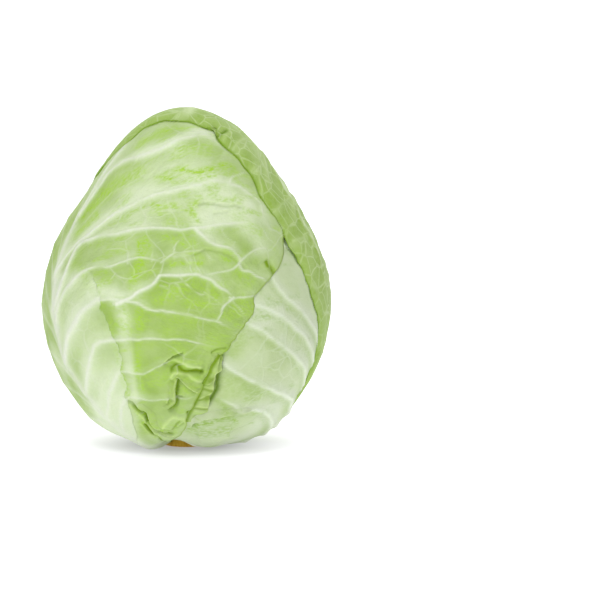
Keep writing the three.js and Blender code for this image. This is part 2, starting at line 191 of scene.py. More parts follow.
class Leaf:
    # a grid over rows of side ribs: a row is a bent line from the midrib through its bend to the leaf's edge
    def __init__(self, settings):
        self.settings = settings = {**plainLeaf, **settings}
        self.map = LeafMap(settings["azimuth"], settings["tilt"])
        self.table = np.array(settings["ribs"], float).reshape(len(settings["ribs"]), 10)
        self.first, self.last = -settings["root"], len(self.table) - 1
        fine = np.linspace(self.first, self.last, 320)
        right, left = self.places(fine, np.array([1.0])), self.places(fine, np.array([-1.0]))
        tip = self.places(fine[-1:], np.linspace(1, -1, 14)[1:-1])[0]
        ring = np.concatenate([right[:, 0], tip, left[::-1, 0], right[:1, 0]])
        self.edgeFine = self.onBelly(ring)
        self.outline = ring[:-1:4]
        self.edgeLine = self.onBelly(np.concatenate([self.outline, self.outline[:1]]))
        self.midrib = self.onBelly(self.places(fine[::8], np.array([0.0]))[:, 0])

    def places(self, rows, us):
        # (1-t)^2 midrib + 2t(1-t) bend + t^2 end, with t the size of u
        stations = splineAt(self.table, rows).reshape(len(rows), 1, 5, 2)
        t = np.abs(us)[None, :, None]
        plus = (us >= 0)[None, :, None]
        by = np.where(plus, stations[:, :, 1], stations[:, :, 3])
        end = np.where(plus, stations[:, :, 2], stations[:, :, 4])
        row = (1 - t) ** 2 * stations[:, :, 0] + 2 * t * (1 - t) * by + t ** 2 * end
        return row + t ** 8 * np.where(plus, self.shift(rows, "shiftPlus"), self.shift(rows, "shiftMinus"))

    def lineAlong(self, rows, us):
        # one place for each pair of a row and a u
        pairs = np.arange(len(us))
        return self.places(rows, us)[pairs, pairs]

    def shift(self, rows, side):
        # how the real edge departs from the even curve through the rows' ends, with a small raggedness
        table = np.array(self.settings[side], float)
        ragged = self.settings["ragged"]
        place = np.stack([rows / ragged["length"], rows * 0, rows * 0], -1)
        seed = ragged["seed"] + len(side)
        moved = [np.interp(rows, table[:, 0], table[:, k]) + ragged["size"]
                 * (softNoise(place, 1.0, seed + k) + 0.6 * softNoise(place, 0.37, seed + k + 2))
                 for k in (1, 2)]
        return np.stack(moved, -1)[:, None]

    def onBelly(self, xy):
        return self.map.ways(np.asarray(xy, float)) * headForm["belly"]

    def line(self, points, count=18):
        return self.onBelly(smoothLine(points, count))

    def withStrokes(self, mask, points, kind, count=6):
        # adds strokes, each with a strength, a width and a line on the map
        for strength, wide, line in self.settings[kind]:
            mask = mask + strength * bell(nearCurve(points, self.line(line, count))[0], wide)
        return mask

    def evenRows(self, count):
        # rows evenly spread by their mean distance at the midrib and halfway out
        fine = np.linspace(self.first, self.last, 400)
        ways = self.map.ways(self.places(fine, np.array([-0.75, 0.0, 0.75])))
        steps = np.linalg.norm(np.diff(ways, axis=0), axis=-1).mean(1)
        steps = steps * focus(fine[1:], self.settings["rowFocus"])
        length = np.concatenate([[0], np.cumsum(steps)])
        return np.interp(np.linspace(0, length[-1], count), length, fine)

    def evenColumns(self, count):
        # columns evenly spread along the middle row, closer together where the leaf says so
        fine = np.linspace(-1, 1, 400)
        ways = self.map.ways(self.places(np.array([self.last * 0.5]), fine))[0]
        steps = np.linalg.norm(np.diff(ways, axis=0), axis=-1)
        steps = steps * focus(fine[1:], self.settings["columnFocus"])
        length = np.concatenate([[0], np.cumsum(steps)])
        us = np.interp(np.linspace(0, length[-1], count), length, fine)
        us[np.abs(us).argmin()] = 0
        return us

    def fromEdge(self, ways):
        # distance to the leaf's edge in millimetres, negative outside the leaf
        distance = nearCurve(ways * headForm["belly"], self.edgeLine)[0]
        return np.where(isInside(self.map.positions(ways), self.outline), distance, -distance)

    def toEdge(self, points):
        # the same for the leaf's own points, exact near the edge
        distance = nearCurve(points, self.edgeLine)[0]
        close = distance < 7
        distance[close] = nearCurve(points[close], self.edgeFine)[0]
        return distance

    def cover(self, ways):
        # 1 on the leaf, easing to 0 over the drape beyond its edge
        return ease(1 + self.fromEdge(ways) / headForm["drape"])


tornLine = [(12, -64), (15, -60), (21, -55), (24, -50), (27, -44), (30, -38), (32, -34), (33, -30),
            (34, -22), (34, -16), (32, -7), (31, 0), (28, 6), (23, 13), (18, 17), (10, 22)]

# Each row: the point on the midrib, the bend and end towards +x, the bend and end towards -x.
frontLeaf = {
    "azimuth": -60, "tilt": 0, "root": 0.25, "rows": 307, "columns": 268,
    "rowFocus": [(-0.25, 0.7, 0.5), (0.7, 4.3, 1.5), (5.6, 7.6, 2.0), (9.4, 11.0, 0.5)],
    "columnFocus": [(-1.0, -0.2, 0.45), (0.35, 1.0, 1.45)],
    "ragged": {"size": 0.6, "length": 0.3, "seed": 13},
    "shiftPlus": [
        (0, 0, 0), (0.28, -1.6, 2.4), (0.55, 0, 4), (0.81, 0, 3), (1.09, -1, 0), (1.3, -0.5, 0),
        (1.43, -2, 0), (1.69, 0, 1), (2.03, -0.5, 0.4), (3.7, 0, 0), (4.79, -0.8, 0.7), (5.38, 1, -0.6),
        (5.86, -1.5, 0.9), (6.26, 1.5, -1.3), (6.55, 3.6, -2.8), (6.79, 3.3, -1.9), (7.1, 1.5, 0.3),
        (7.5, 5, 4), (8, 3, 3), (8.6, 0, 0),
    ],
    "ribs": [
        [[2, -76], [6, -76], [11, -77], [-4, -76], [-13, -78]],
        [[13, -66], [24, -58], [38, -63], [0, -60], [-34, -70]],
        [[15, -54], [26, -28], [61, -39], [0, -40], [-52, -55]],
        [[12, -43], [24, -12], [71, -24], [-2, -22], [-66, -40]],
        [[9, -33], [20, 3], [79, -15], [-6, -4], [-76, -24]],
        [[5, -20], [14, 24], [86, -5], [-8, 14], [-83, -8]],
        [[3, -9], [10, 34], [91, 14], [-12, 30], [-88, 9]],
        [[2, 1], [-1, 36], [93, 54], [-14, 42], [-90, 28]],
        [[0, 13], [12, 44], [64, 82], [-16, 56], [-84, 50]],
        [[-2, 34], [6, 64], [34, 95], [-12, 66], [-58, 78]],
        [[-2, 62], [4, 80], [14, 98], [-9, 82], [-26, 93]],
        [[-2, 88], [2, 92], [6, 95], [-6, 93], [-10, 95]],
    ],
    "midrib": {"height": 1.7, "atTip": 0.3, "width": 7.5, "widthAtTip": 2.2},
    "autoVeins": {"from": 2, "to": 9, "sides": [-1], "height": 0.8, "width": 1.2, "strength": 0.3,
                  "fork": 0.3, "seed": 11},
    "veinWidth": 0.62,
    # strength, width, then points on the map
    "veins": [
        (1.0, 1.9, [(0, 38), (4, 55), (10, 61), (20, 67), (25, 75), (27, 82), (29, 86)]),
        (0.35, 1.0, [(6, 36), (12, 48), (18, 53), (22, 57), (28, 63), (34, 68)]),
        (0.4, 0.8, [(29.5, 64.5), (36.5, 69), (41.5, 75), (42, 82)]),
        (1.0, 1.9, [(0, 14), (5, 22), (11, 29), (17, 35), (22, 41), (27, 45.5), (33.5, 51.5),
                    (39.5, 55.5), (46, 62), (50.5, 69), (55, 71.5)]),
        (0.8, 1.2, [(54, 71), (52, 75.5), (51.5, 79), (52, 84)]),
        (0.8, 1.4, [(54, 70), (61.5, 73), (66.5, 73.5), (71, 72.5), (76.5, 65), (78.5, 59)]),
        (1.0, 2.0, [(2, 0), (6, 10), (8, 19), (10, 26), (13, 28.5), (19, 30.5), (24, 32), (30.5, 34),
                    (39, 38), (44, 38.5), (50, 39.5), (57, 42), (63, 46), (67, 48.5), (71, 52), (75, 55),
                    (80, 59)]),
        (0.6, 1.0, [(78, 58), (83.5, 53), (87, 50), (91.5, 49)]),
        (0.9, 1.7, [(57, 42), (62, 39), (65.5, 36.5), (69.5, 36), (74, 35.5), (76.5, 33.5), (79, 30.5),
                    (79, 26)]),
        (0.8, 1.4, [(79, 29.5), (81.5, 34.5), (83.5, 38), (85, 40.5), (89, 43)]),
        (0.8, 1.3, [(79, 29), (77, 25), (74.5, 23), (71.5, 22), (67, 20.5)]),
        (1.0, 1.5, [(79, 29), (81.5, 26), (85, 25.5), (88.5, 23.5), (95, 21)]),
        (0.6, 0.9, [(83.5, 38), (87.5, 33.5), (91, 30)]),
        (0.45, 0.8, [(67, 46), (70.5, 42), (73, 40.5), (75, 41)]),
        (0.45, 0.8, [(74, 40.5), (74.5, 35)]),
        (0.9, 1.6, [(4, -4), (5, 3), (14, 14), (18, 17), (25.5, 19), (29, 19), (35, 22.5), (41.5, 25),
                    (48.5, 24.5), (51.5, 24.5)]),
        (0.9, 1.3, [(50, 24), (52.5, 27), (53.5, 29), (53, 31.5), (54, 36)]),
        (0.7, 1.0, [(53, 29), (56.5, 29.5), (61.5, 31.5), (65, 31.5), (67, 30), (69, 28.5), (73, 30)]),
        (0.8, 1.3, [(50.5, 25.5), (51, 21.5), (51.5, 17)]),
        (0.7, 1.0, [(46, 24), (45.5, 28), (45.5, 31.5), (48, 34)]),
        (0.7, 1.1, [(37, 22), (36, 26), (33.5, 27), (30, 27), (24, 26)]),
        (0.6, 1.0, [(28, 20), (32, 17.5), (34.5, 16), (37, 15.5), (40, 15.5), (42, 16), (44, 18),
                    (48.5, 21), (52, 21.5)]),
        (0.6, 0.9, [(33, 17), (31.5, 14.5), (30.5, 13), (27.5, 13.5), (23, 12)]),
        (1.0, 2.3, [(5, -20), (9, -11), (13.5, -6), (18.5, 0), (21.5, 2.5), (24.5, 4.5), (27.5, 6),
                    (34.5, 7), (38, 6), (44, 6)]),
        (1.0, 2.0, [(36, 5), (41.5, 7.5), (44, 10), (47.5, 12.5), (50, 15), (51.5, 18), (55, 18.5),
                    (59.5, 19.5), (64.5, 20.5), (68, 19.5), (71, 18), (73.5, 15.5), (76.5, 13.5),
                    (79, 12), (79.5, 7)]),
        (0.9, 1.5, [(78.5, 8.5), (81.5, 10), (85.5, 10.5), (91, 12)]),
        (0.9, 1.5, [(80, 10), (76.5, 5), (75.5, 1), (73.5, -3)]),
        (0.8, 1.2, [(78.5, 10), (82, 5), (86, -1)]),
        (0.5, 1.0, [(69, 12), (72.5, 9), (75, 7), (77.5, 4)]),
        (0.8, 1.6, [(38, 6.5), (43.5, 5.5), (47.5, 4), (51, 3), (56.5, 2.5), (62, 1.5), (66.5, 0),
                    (70.5, -1.5), (74, -2), (76.5, -4), (82, -8)]),
        (0.8, 1.1, [(58, 19), (60, 17), (62.5, 15), (65, 12.5), (67.5, 11), (70, 11)]),
        (0.5, 1.0, [(52, 14), (55, 13), (58, 10.5), (62, 7)]),
        (0.4, 0.9, [(63, 1), (64, 6.5), (66, 8)]),
        (0.8, 1.7, [(10, -33), (16, -24), (21, -17), (25, -12), (30.5, -9.5), (37.5, -9.5), (43, -9),
                    (49.5, -9), (55, -9.5), (61, -10), (65.5, -11.5), (69, -13), (78, -19)]),
        (0.75, 1.6, [(14, -44), (25, -31), (33, -23), (43, -24), (51, -21), (56, -18)]),
        (0.75, 1.5, [(16, -52), (24, -41), (32, -35), (39, -37), (49, -38), (60, -41)]),
        (0.25, 0.7, [(66, -9), (68, -13), (70, -16)]),
        (0.25, 0.8, [(41, -25), (39, -31), (38, -36)]),
    ],
    # whiter places, and darker ones where the strength is negative: strength, width in millimetres, then
    # points on the map. Most are the leaf's own tone; the darker ones along the left rim, low on the left and
    # right below the thick veins are painted shade.
    "paleness": 0.08,
    "pales": [
        (-1.0, 9.0, [(4, -16), (7, -24), (9, -34)]), (-0.35, 6.0, [(5, 14), (6, -8)]),
        (-0.4, 6.0, [(-5, 12), (-5, -10)]), (0.3, 6.0, [(42, 9), (40, 3)]),
        (0.25, 7.0, [(40, -4), (38, -20), (36, -34)]), (-0.35, 8.0, [(12, 65), (20, 70)]),
        (-0.35, 6.0, [(18, 78), (24, 80)]), (0.6, 7.0, [(24, 82), (30, 88)]),
        (0.5, 5.0, [(14, 66), (24, 72)]), (0.4, 5.0, [(22, 50), (30, 54)]),
        (0.5, 6.0, [(74, 52), (84, 44)]), (0.4, 5.0, [(58, 62), (66, 68)]),
        (0.4, 4.0, [(36, 8), (26, 10)]), (0.35, 4.0, [(38, 0), (38, -24), (35, -36)]),
        (0.1, 7.0, [(24, -60), (28, -48), (33, -40)]), (0.15, 8.0, [(44, -54), (52, -44)]),
        (-0.2, 12.0, [(60, -6), (70, -4)]), (-0.2, 10.0, [(6, 46), (14, 56)]),
        (0.35, 8.0, [(30, 42), (42, 50)]), (0.45, 5.0, [(24, 10), (34, 11)]),
        (0.35, 6.0, [(12, 32), (20, 40)]), (0.3, 9.0, [(60, 50), (74, 66)]),
        (-0.9, 15.0, [(-18, -42), (-19, 0), (-16, 34)]), (0.35, 24.0, [(24, 66), (60, 60)]),
        (-0.7, 6.0, [(54, 7), (60, 4)]), (-0.5, 6.0, [(44, 21), (50, 19)]),
        (-0.4, 8.0, [(60, -9), (72, -12)]), (0.45, 16.0, [(8, -56), (16, -44), (20, -30)]),
        (-0.4, 5.0, [(-3, -44), (-2, -30)]), (0.35, 5.0, [(36, 4), (40, -2)]),
        (-0.7, 4.5, [(29, -51), (23, -56), (20, -62)]), (-0.35, 6.0, [(65, 8), (70, 7)]),
        (0.5, 9.0, [(48, 63), (56, 62)]), (0.25, 8.0, [(8, 44), (13, 37)]),
        (0.15, 8.0, [(15, 55), (20, 59)]), (-0.35, 9.0, [(58, 0), (66, 6), (66, -6)]),
        (-0.4, 7.0, [(78, 9), (84, 4)]), (-0.15, 6.0, [(80, 26), (84, 32)]),
        (0.5, 6.0, [(56, 48), (60, 44)]), (-0.3, 7.0, [(72, 46), (78, 42)]),
    ],
    # greener places: strength, width in millimetres, then points on the map
    "streaks": [
        (0.7, 3.0, [(63, 7), (70, 6)]), (1.2, 1.6, [(34, 65), (40, 67), (44, 72)]),
        (0.9, 1.3, [(44, 66), (48, 69)]), (1.1, 1.4, [(44, 76), (47, 80)]),
        (1.1, 1.1, [(28, 59), (35, 61)]), (0.9, 1.4, [(4, 49), (10, 51), (16, 53)]),
        (0.9, 1.4, [(37, 48), (46, 49), (52, 51)]), (0.8, 2.0, [(52, 49), (50, 57)]),
        (1.0, 1.6, [(38, 32), (42, 23)]), (0.8, 2.0, [(48, 35), (57, 33)]),
        (0.9, 1.6, [(60, 25), (64, 27)]), (0.7, 2.0, [(36, 48), (40, 45)]),
        (0.8, 3.0, [(9, 69), (15, 76)]), (0.6, 2.2, [(16, 78), (19, 81)]),
        (0.55, 4.0, [(29, 72), (34, 80)]), (0.7, 4.5, [(9, 51), (20, 59)]),
        (0.9, 5.0, [(2, 39), (10, 50)]), (0.6, 1.2, [(31, 59), (38, 63)]),
        (0.8, 1.5, [(40, 67), (48, 80)]), (0.8, 3.5, [(5, 31), (10, 39)]),
        (0.7, 1.8, [(37, 47), (46, 51)]), (0.7, 2.0, [(49, 54), (56, 47)]),
        (0.8, 2.2, [(39, 34), (42, 29)]), (0.5, 2.5, [(26, 25), (34, 27)]),
        (1.0, 3.2, [(42, 26), (42, 15)]), (0.8, 1.8, [(55, 23), (65, 27)]),
        (0.8, 1.5, [(72, 32), (75, 30)]), (1.0, 1.8, [(91, 32), (97, 27)]),
        (0.8, 3.0, [(15, 17), (23, 10)]), (0.7, 4.5, [(52, 8), (61, 14)]),
        (0.6, 3.0, [(70, 13), (75, 9)]), (0.8, 3.0, [(45, 3), (45, -4)]),
        (0.8, 2.2, [(44, -9), (41, -25)]), (0.9, 2.0, [(32, -10), (34, -22)]),
        (0.8, 2.0, [(34, -22), (32, -33)]), (0.7, 2.0, [(40, -28), (39, -33)]),
        (0.5, 5.0, [(47, 42), (57, 40)]), (0.6, 3.0, [(54, 37), (60, 35)]),
        (0.5, 4.0, [(80, 25), (86, 21)]), (0.5, 3.0, [(34, -3), (42, -4)]),
        (0.4, 4.5, [(57, 0), (66, -2)]), (0.6, 3.5, [(84, 10), (89, 4)]),
        (0.4, 5.0, [(70, 55), (81, 51)]), (0.4, 5.0, [(55, -6), (60, -11)]),
        (0.6, 2.0, [(25, 8), (28, 5)]), (0.5, 4.0, [(46, -29), (54, -26)]),
        (0.5, 4.0, [(71, -12), (76, -17)]), (0.7, 3.0, [(28, -60), (30, -50), (32, -40)]),
        (0.5, 4.0, [(38, -56), (46, -52)]), (0.5, 3.0, [(36, -46), (38, -52)]),
        # greener down in the crease low on the leaf: painted shade
        (0.9, 2.5, [(33, -44), (33, -50), (34, -55)]),
    ],
    # folds: height on the left, height on the right, fall in millimetres, then points on the map
    "torn": tornLine,
    "folds": [
        (-0.4, 0.6, 12.0, tornLine),
        (0.3, 0.3, 3.0, [(31, -45), (36, -32), (40, -20), (41, -5), (40, 9)]),
        (1.6, 1.6, 10.0, [(56, -22), (55, -34), (46, -48), (38, -56)]),
        (0.9, -1.3, 2.2, [(51, -21), (53, -19), (56, -17), (60, -16)]),
        (1.5, 1.5, 3.0, [(51, -20), (55, -19), (57, -20), (60, -22), (63, -24), (66, -25)]),
        (-2.2, -2.2, 2.2, [(53, -25), (56, -22), (59, -25), (63, -26), (66, -28)]),
        (1.5, 1.5, 2.2, [(52, -28), (55, -25), (59, -26), (61, -29), (64, -33)]),
        (-2.0, 0.5, 3.6, [(56, -26), (53, -32), (51, -37), (49, -41), (44, -43)]),
        (1.0, -0.7, 4.0, [(56, -26), (57, -30), (59, -35), (60, -39)]),
        (-1.0, -1.0, 1.2, [(48, -39), (51, -38), (54, -38)]),
        (0.6, -2.0, 1.6, [(28, -34), (32, -37), (33, -41), (35, -43), (34, -46), (33, -50), (33, -53),
                          (35, -56), (39, -57)]),
        (-1.8, -1.8, 2.4, [(31, -38), (32, -42), (34, -44), (33, -47), (32, -50), (32, -53), (34, -57),
                           (38, -59)]),
        (1.5, 1.5, 1.6, [(30, -37), (31, -42), (32, -46), (31, -50), (31, -55), (33, -59), (38, -61)]),
        (-2.0, -2.0, 2.2, [(30, -48), (29, -53), (28, -57), (29, -61), (32, -63)]),
        (1.2, 1.2, 1.6, [(29, -47), (28, -53), (27, -58), (28, -62)]),
        (-1.6, -1.6, 1.0, [(29, -57), (27, -61), (24, -66)]),
        (1.4, 1.4, 1.5, [(35, -54), (38, -51), (41, -49), (45, -47), (47, -49), (47, -52), (45, -57),
                         (40, -60)]),
        (-1.0, -1.0, 1.5, [(38, -56), (43, -52), (46, -51)]),
        (0.8, -0.8, 3.0, [(36, -55), (41, -54), (46, -53)]),
        (-1.8, -1.8, 1.4, [(51, -47), (49, -52), (46, -58)]),
        (-0.8, -0.8, 1.0, [(70, -18), (73, -17), (77, -17)]),
        (0.8, -0.5, 2.5, [(46, -40), (50, -37), (55, -38)]),
        (0.8, -0.5, 3.0, [(58, 28), (66, 33), (74, 33), (84, 26)]),
        (0.7, -0.6, 2.5, [(51, 55), (57, 58), (68, 63)]),
        (0.5, -0.4, 2.0, [(59, 53), (64, 57)]),
        (-2.2, -2.2, 3.0, [(90, 35), (92, 32), (94, 29), (96, 26), (98, 23)]),
    ],
    # steps of colour alone: whiter on the left, on the right, fall, line
    "shades": [(0.1, -0.2, 8.0, [(31, -45), (36, -34), (40, -22), (41, -6), (40, 8)]),
               (0.0, -0.3, 7.0, [(24, 82), (38, 84)])],
    # the edge's own lift: height, width, then points near the edge
    "lifts": [(1.5, 5.0, [(56, -45), (60, -40), (66, -31), (72, -24)]), (1.0, 4.0, [(94, 26), (97, 34)])],
    # folds that lie over the leaf or look out under its edge, each from a sunk line to a free one. Crossings
    # are creases across them: how far along, and how slanted.
    "flaps": [
        {"on": "head", "count": 70, "seed": 103, "sunkLift": -1.0, "freeLift": -0.6, "crimp": 0.9,
         "crossings": [(0.46, 4.0), (0.6, -3.0), (0.76, 2.0)],
         "sunk": [(72, -19), (68, -26), (64, -32), (60, -38), (56, -43), (51, -48), (45, -54)],
         "free": [(75, -21), (72, -27), (70, -30), (68, -34), (66, -38), (62, -43), (59, -47), (56, -51),
                  (52, -55)]},
        {"on": "head", "seed": 101, "sunkLift": -0.2, "freeLift": 1.4, "bulge": 0.4, "crimp": 0.9,
         "sunk": [(73, -19), (69, -24), (66, -29), (62, -34)],
         "free": [(74, -21), (73, -22), (71, -27), (69, -30), (67, -33), (64, -35)]},
        {"seed": 107, "bulge": 0.2, "crimp": 0.3,
         "sunk": [(52, -27), (49, -32), (47, -37), (45, -40), (40, -43)],
         "free": [(56, -27), (53, -32), (51, -37), (49, -40), (44, -42)]},
        {"count": 40, "seed": 108, "freeLift": 0.7, "bulge": 0.2,
         "sunk": [(58, -26), (61, -32), (62, -36)],
         "free": [(55, -26), (57, -33), (60, -39)]},
        {"count": 60, "seed": 105, "freeLift": 1.2,
         "sunk": [(35, -36), (38, -41), (39, -46), (37, -50), (37, -53), (40, -55)],
         "free": [(32, -37), (33, -41), (35, -43), (34, -46), (33, -50), (33, -53), (35, -56), (39, -58)]},
        {"seed": 109,
         "sunk": [(34, -48), (34, -53), (33, -57), (35, -60), (38, -61)],
         "free": [(31, -48), (30, -53), (29, -57), (30, -60), (33, -63)]},
    ],
    # How dark the painted shade is that its edge lays on the leaf under it. Blade: the leaf's thickness.
    "edge": {"lift": -1.1, "band": 3.0, "wave": 0.2, "waveLength": 13.0, "blade": 0.35}, "edgeShade": 0.0,
    "net": {"seed": 5, "share": 0.1}, "netPlaces": [(-0.5, 18.0, [(20, 62), (60, 56)])],
    "puff": {"height": 0.55, "size": 17.0, "fine": 0.16, "fineSize": 6.0, "seed": 21},
    "blade": 0.8,
}

backCrease = [(-14, 66), (-22, 69), (-31, 71), (-37, 66), (-43, 66), (-48, 64), (-56, 63), (-60, 57),
              (-68, 57), (-77, 53), (-88, 40)]

backLeaf = {
    "azimuth": 180, "tilt": 20, "root": 0.35, "rows": 271, "columns": 292,
    "ragged": {"size": 1.0, "length": 0.4, "seed": 17},
    "shiftMinus": [
        (0, 0, 0), (9.3, 0, 0), (9.59, 1.1, 2.0), (9.73, 0.6, 1.5), (9.92, -0.7, -2.2), (10, 0, 0),
    ],
    "ribs": [
        [[0, -95], [5, -95], [12, -97], [-5, -95], [-12, -97]],
        [[1, -86], [8, -74], [30, -88], [-8, -74], [-44, -92]],
        [[2, -70], [14, -46], [52, -70], [-14, -46], [-80, -72]],
        [[3, -53], [17, -26], [66, -48], [-16, -24], [-101, -46]],
        [[3, -36], [18, -8], [74, -26], [-16, -4], [-110, -14]],
        [[1, -18], [16, 12], [77, -4], [-15, 16], [-112, 14]],
        [[-1, 0], [14, 29], [77, 18], [-16, 32], [-106, 42]],
        [[-3, 18], [13, 44], [62, 38], [-16, 48], [-88, 67]],
        [[-4, 37], [12, 55], [48, 57], [-15, 62], [-62, 82]],
        [[-3, 57], [8, 66], [30, 73], [-11, 73], [-36, 86]],
        [[-2, 82], [3, 82], [8, 80], [-6, 83], [-12, 84]],
    ],
    "midrib": {"height": 2.2, "atTip": 0.3, "width": 8.0, "widthAtTip": 2.0},
    "autoVeins": {"from": 1, "to": 8, "sides": [-1, 1], "height": 0.6, "width": 1.3, "strength": 0.8,
                  "fork": 0.8, "seed": 31},
    "veinWidth": 0.8,
    "veins": [
        (0.6, 1.2, [(4, 81), (0, 76), (-3, 73)]),
        (0.6, 1.2, [(-25, 85), (-27, 74), (-29, 65)]),
        (0.6, 1.2, [(-38, 87), (-40, 75), (-46, 74)]),
        (0.6, 1.2, [(-64, 82), (-60, 68), (-54, 52)]),
        (0.6, 1.2, [(-83, 68), (-81, 58), (-70, 38)]),
        (0.9, 0.7, backCrease),
    ],
    "pales": [
        # a pale band beside the crease: painted sheen where the leaf turns away past it
        (0.8, 2.6, [(-24, 66), (-31, 68), (-37, 63), (-43, 62), (-48, 60), (-55, 59), (-59, 54),
                    (-67, 53), (-76, 49), (-88, 36)]),
    ],
    "folds": [
        (-0.8, 1.4, 1.8, backCrease + [(-96, 26)]),
        (-1.3, -1.3, 1.2, [(-16, 85), (-17, 83), (-18, 81), (-19, 79)]),
        (1.0, 1.0, 1.6, [(-19, 86), (-20, 82), (-22, 79)]),
    ],
    "lifts": [
        (3.0, 4.0, [(43, 63), (46, 60)]), (1.6, 3.5, [(-13, 83), (-16, 85)]),
        (-2.0, 5.0, [(-70, 79), (-80, 75), (-89, 67), (-96, 62), (-101, 56)]),
        (1.0, 5.0, [(-57, 50), (-60, 46)]), (0.6, 4.0, [(-43, 59), (-46, 56)]),
    ],
    "edge": {"lift": -1.2, "band": 2.6, "wave": 0.12, "waveLength": 11.0, "blade": 0.35}, "edgeShade": 1.0,
    "net": {"seed": 7, "share": 0.1},
    "netPlaces": [(0.9, 22.0, [(0, 80), (-30, 78), (-60, 70), (-90, 40), (-100, 10)])],
    "puff": {"height": 0.7, "size": 15.0, "fine": 0.2, "fineSize": 6.5, "seed": 23},
    "blade": 0.8,
}

rightLeaf = {
    "azimuth": 86, "tilt": 0, "root": 0.4, "rows": 265, "columns": 289,
    "ragged": {"size": 0.6, "length": 0.3, "seed": 19},
    "ribs": [
        [[0, -75], [5, -76], [13, -78], [-5, -76], [-13, -78]],
        [[0, -67], [14, -54], [44, -72], [-14, -56], [-52, -78]],
        [[0, -55], [20, -34], [68, -58], [-22, -38], [-86, -68]],
        [[0, -43], [20, -16], [83, -42], [-22, -22], [-101, -50]],
        [[0, -30], [18, 2], [91, -22], [-20, -4], [-108, -26]],
        [[0, -16], [16, 18], [95, 0], [-17, 14], [-107, 0]],
        [[0, -2], [14, 32], [94, 22], [-15, 30], [-101, 26]],
        [[0, 14], [12, 46], [86, 46], [-13, 46], [-88, 50]],
        [[0, 32], [10, 62], [66, 68], [-10, 62], [-68, 72]],
        [[0, 54], [7, 78], [36, 86], [-7, 78], [-38, 90]],
        [[0, 84], [3, 89], [9, 94], [-3, 89], [-9, 94]],
    ],
    "midrib": {"height": 2.2, "atTip": 0.3, "width": 8.0, "widthAtTip": 2.0},
    "autoVeins": {"from": 1, "to": 8, "sides": [1], "height": 0.75, "width": 1.5, "strength": 1.0,
                  "fork": 0.7, "seed": 41},
    "veinWidth": 0.76,
    "veins": [
        (0.9, 1.7, [(0, -26), (-14, -14), (-30, -2), (-42, 8), (-46, 16), (-50, 30)]),
        (0.9, 1.7, [(0, -32), (-16, -20), (-34, -8), (-47, 1), (-57, 5), (-70, 10)]),
        (0.9, 1.7, [(0, -39), (-16, -28), (-34, -18), (-50, -9), (-60, -3), (-74, 2)]),
        (1.0, 1.9, [(0, -48), (-20, -38), (-40, -33), (-59, -27), (-65, -24), (-80, -16)]),
        (1.0, 1.9, [(0, -60), (-14, -53), (-26, -47), (-38, -44), (-46, -46), (-51, -44), (-61, -41)]),
        (0.8, 1.6, [(0, -14), (-10, 6), (-24, 22), (-40, 36), (-58, 48)]),
        (0.8, 1.6, [(0, 6), (-8, 28), (-18, 44), (-32, 58), (-48, 68)]),
        (0.7, 1.4, [(0, 26), (-5, 46), (-12, 62), (-22, 74)]),
        (0.4, 1.0, [(-40, -33), (-44, -38), (-46, -46)]),
        (0.4, 1.0, [(-50, -9), (-53, -16), (-59, -27)]),
    ],
    "paleness": 0.45,
    # whiter places, and darker ones with a negative strength; the darker ones beside the front leaf's edge
    # are painted shade
    "pales": [(0.7, 10.0, [(-22, -66), (-26, -54), (-26, -44)]), (0.2, 5.0, [(-48, -62), (-41, -60)]),
              (-0.4, 6.0, [(-62, -6), (-62, -16)]),
              (-0.3, 5.0, [(-62, -34), (-60, -42)]), (0.3, 8.0, [(-60, -24), (-52, -20)]),
              (0.4, 9.0, [(-60, -4), (-50, 0)]),
              (-0.3, 7.0, [(-58, -8), (-50, -12)]), (-0.35, 6.0, [(-56, -30), (-55, -40)])],
    "streaks": [
        (0.4, 4.0, [(-63, -4), (-62, -12), (-63, -18)]),
        (0.3, 5.0, [(-62, -32), (-54, -36)]), (0.5, 5.0, [(-49, -34), (-43, -37)]),
        (0.6, 3.0, [(-54, -46), (-48, -48)]), (0.4, 3.0, [(-55, 4), (-52, 1)]),
        (0.9, 2.2, [(-53, -65), (-54, -61), (-53, -57), (-50, -53), (-47, -51), (-42, -52)]),
        (0.6, 3.0, [(-66, -14), (-68, -20)]), (0.6, 4.0, [(-52, -66), (-46, -60), (-42, -57)]),
    ],
    "folds": [
        (-2.2, -2.2, 3.4, [(-68, -15), (-67, -22), (-66, -27), (-64, -33), (-62, -38), (-61, -43),
                           (-60, -49)]),
        (0.8, -1.3, 2.4, [(-54, -65), (-56, -61), (-56, -57), (-54, -54), (-51, -51), (-49, -49),
                          (-45, -46), (-37, -43)]),
        (2.0, 2.0, 7.0, [(-47, -68), (-42, -62), (-38, -59)]),
        (1.0, -0.7, 6.0, [(-34, -70), (-36, -65), (-38, -58), (-36, -53), (-35, -48), (-34, -44)]),
    ],
    "flaps": [
        {"count": 70, "seed": 111, "freeLift": 1.4, "bulge": 0.5, "crimp": 0.3,
         "sunk": [(-61, -59), (-60, -55), (-58, -50), (-54, -47), (-51, -45), (-46, -43), (-40, -42)],
         "free": [(-55, -62), (-56, -57), (-54, -54), (-51, -51), (-49, -49), (-45, -46), (-40, -45)]},
    ],
    "edge": {"lift": -0.8, "band": 4.0, "wave": 0.3, "waveLength": 12.0, "blade": 0.4}, "edgeShade": 0.25,
    "net": {"seed": 9, "share": 0.2},
    "puff": {"height": 0.6, "size": 19.0, "fine": 0.12, "fineSize": 7.0, "seed": 25},
    "blade": 0.8,
}

# the two halves of an inner leaf are alike: its rows are mirrored
innerHalf = [
    [-75, (5, -76), (13, -78)], [-62, (12, -46), (48, -66)], [-44, (14, -18), (67, -42)],
    [-22, (13, 8), (75, -12)], [2, (12, 34), (73, 20)], [28, (9, 56), (56, 52)],
    [56, (5, 74), (26, 76)], [80, (2, 84), (7, 86)],
]


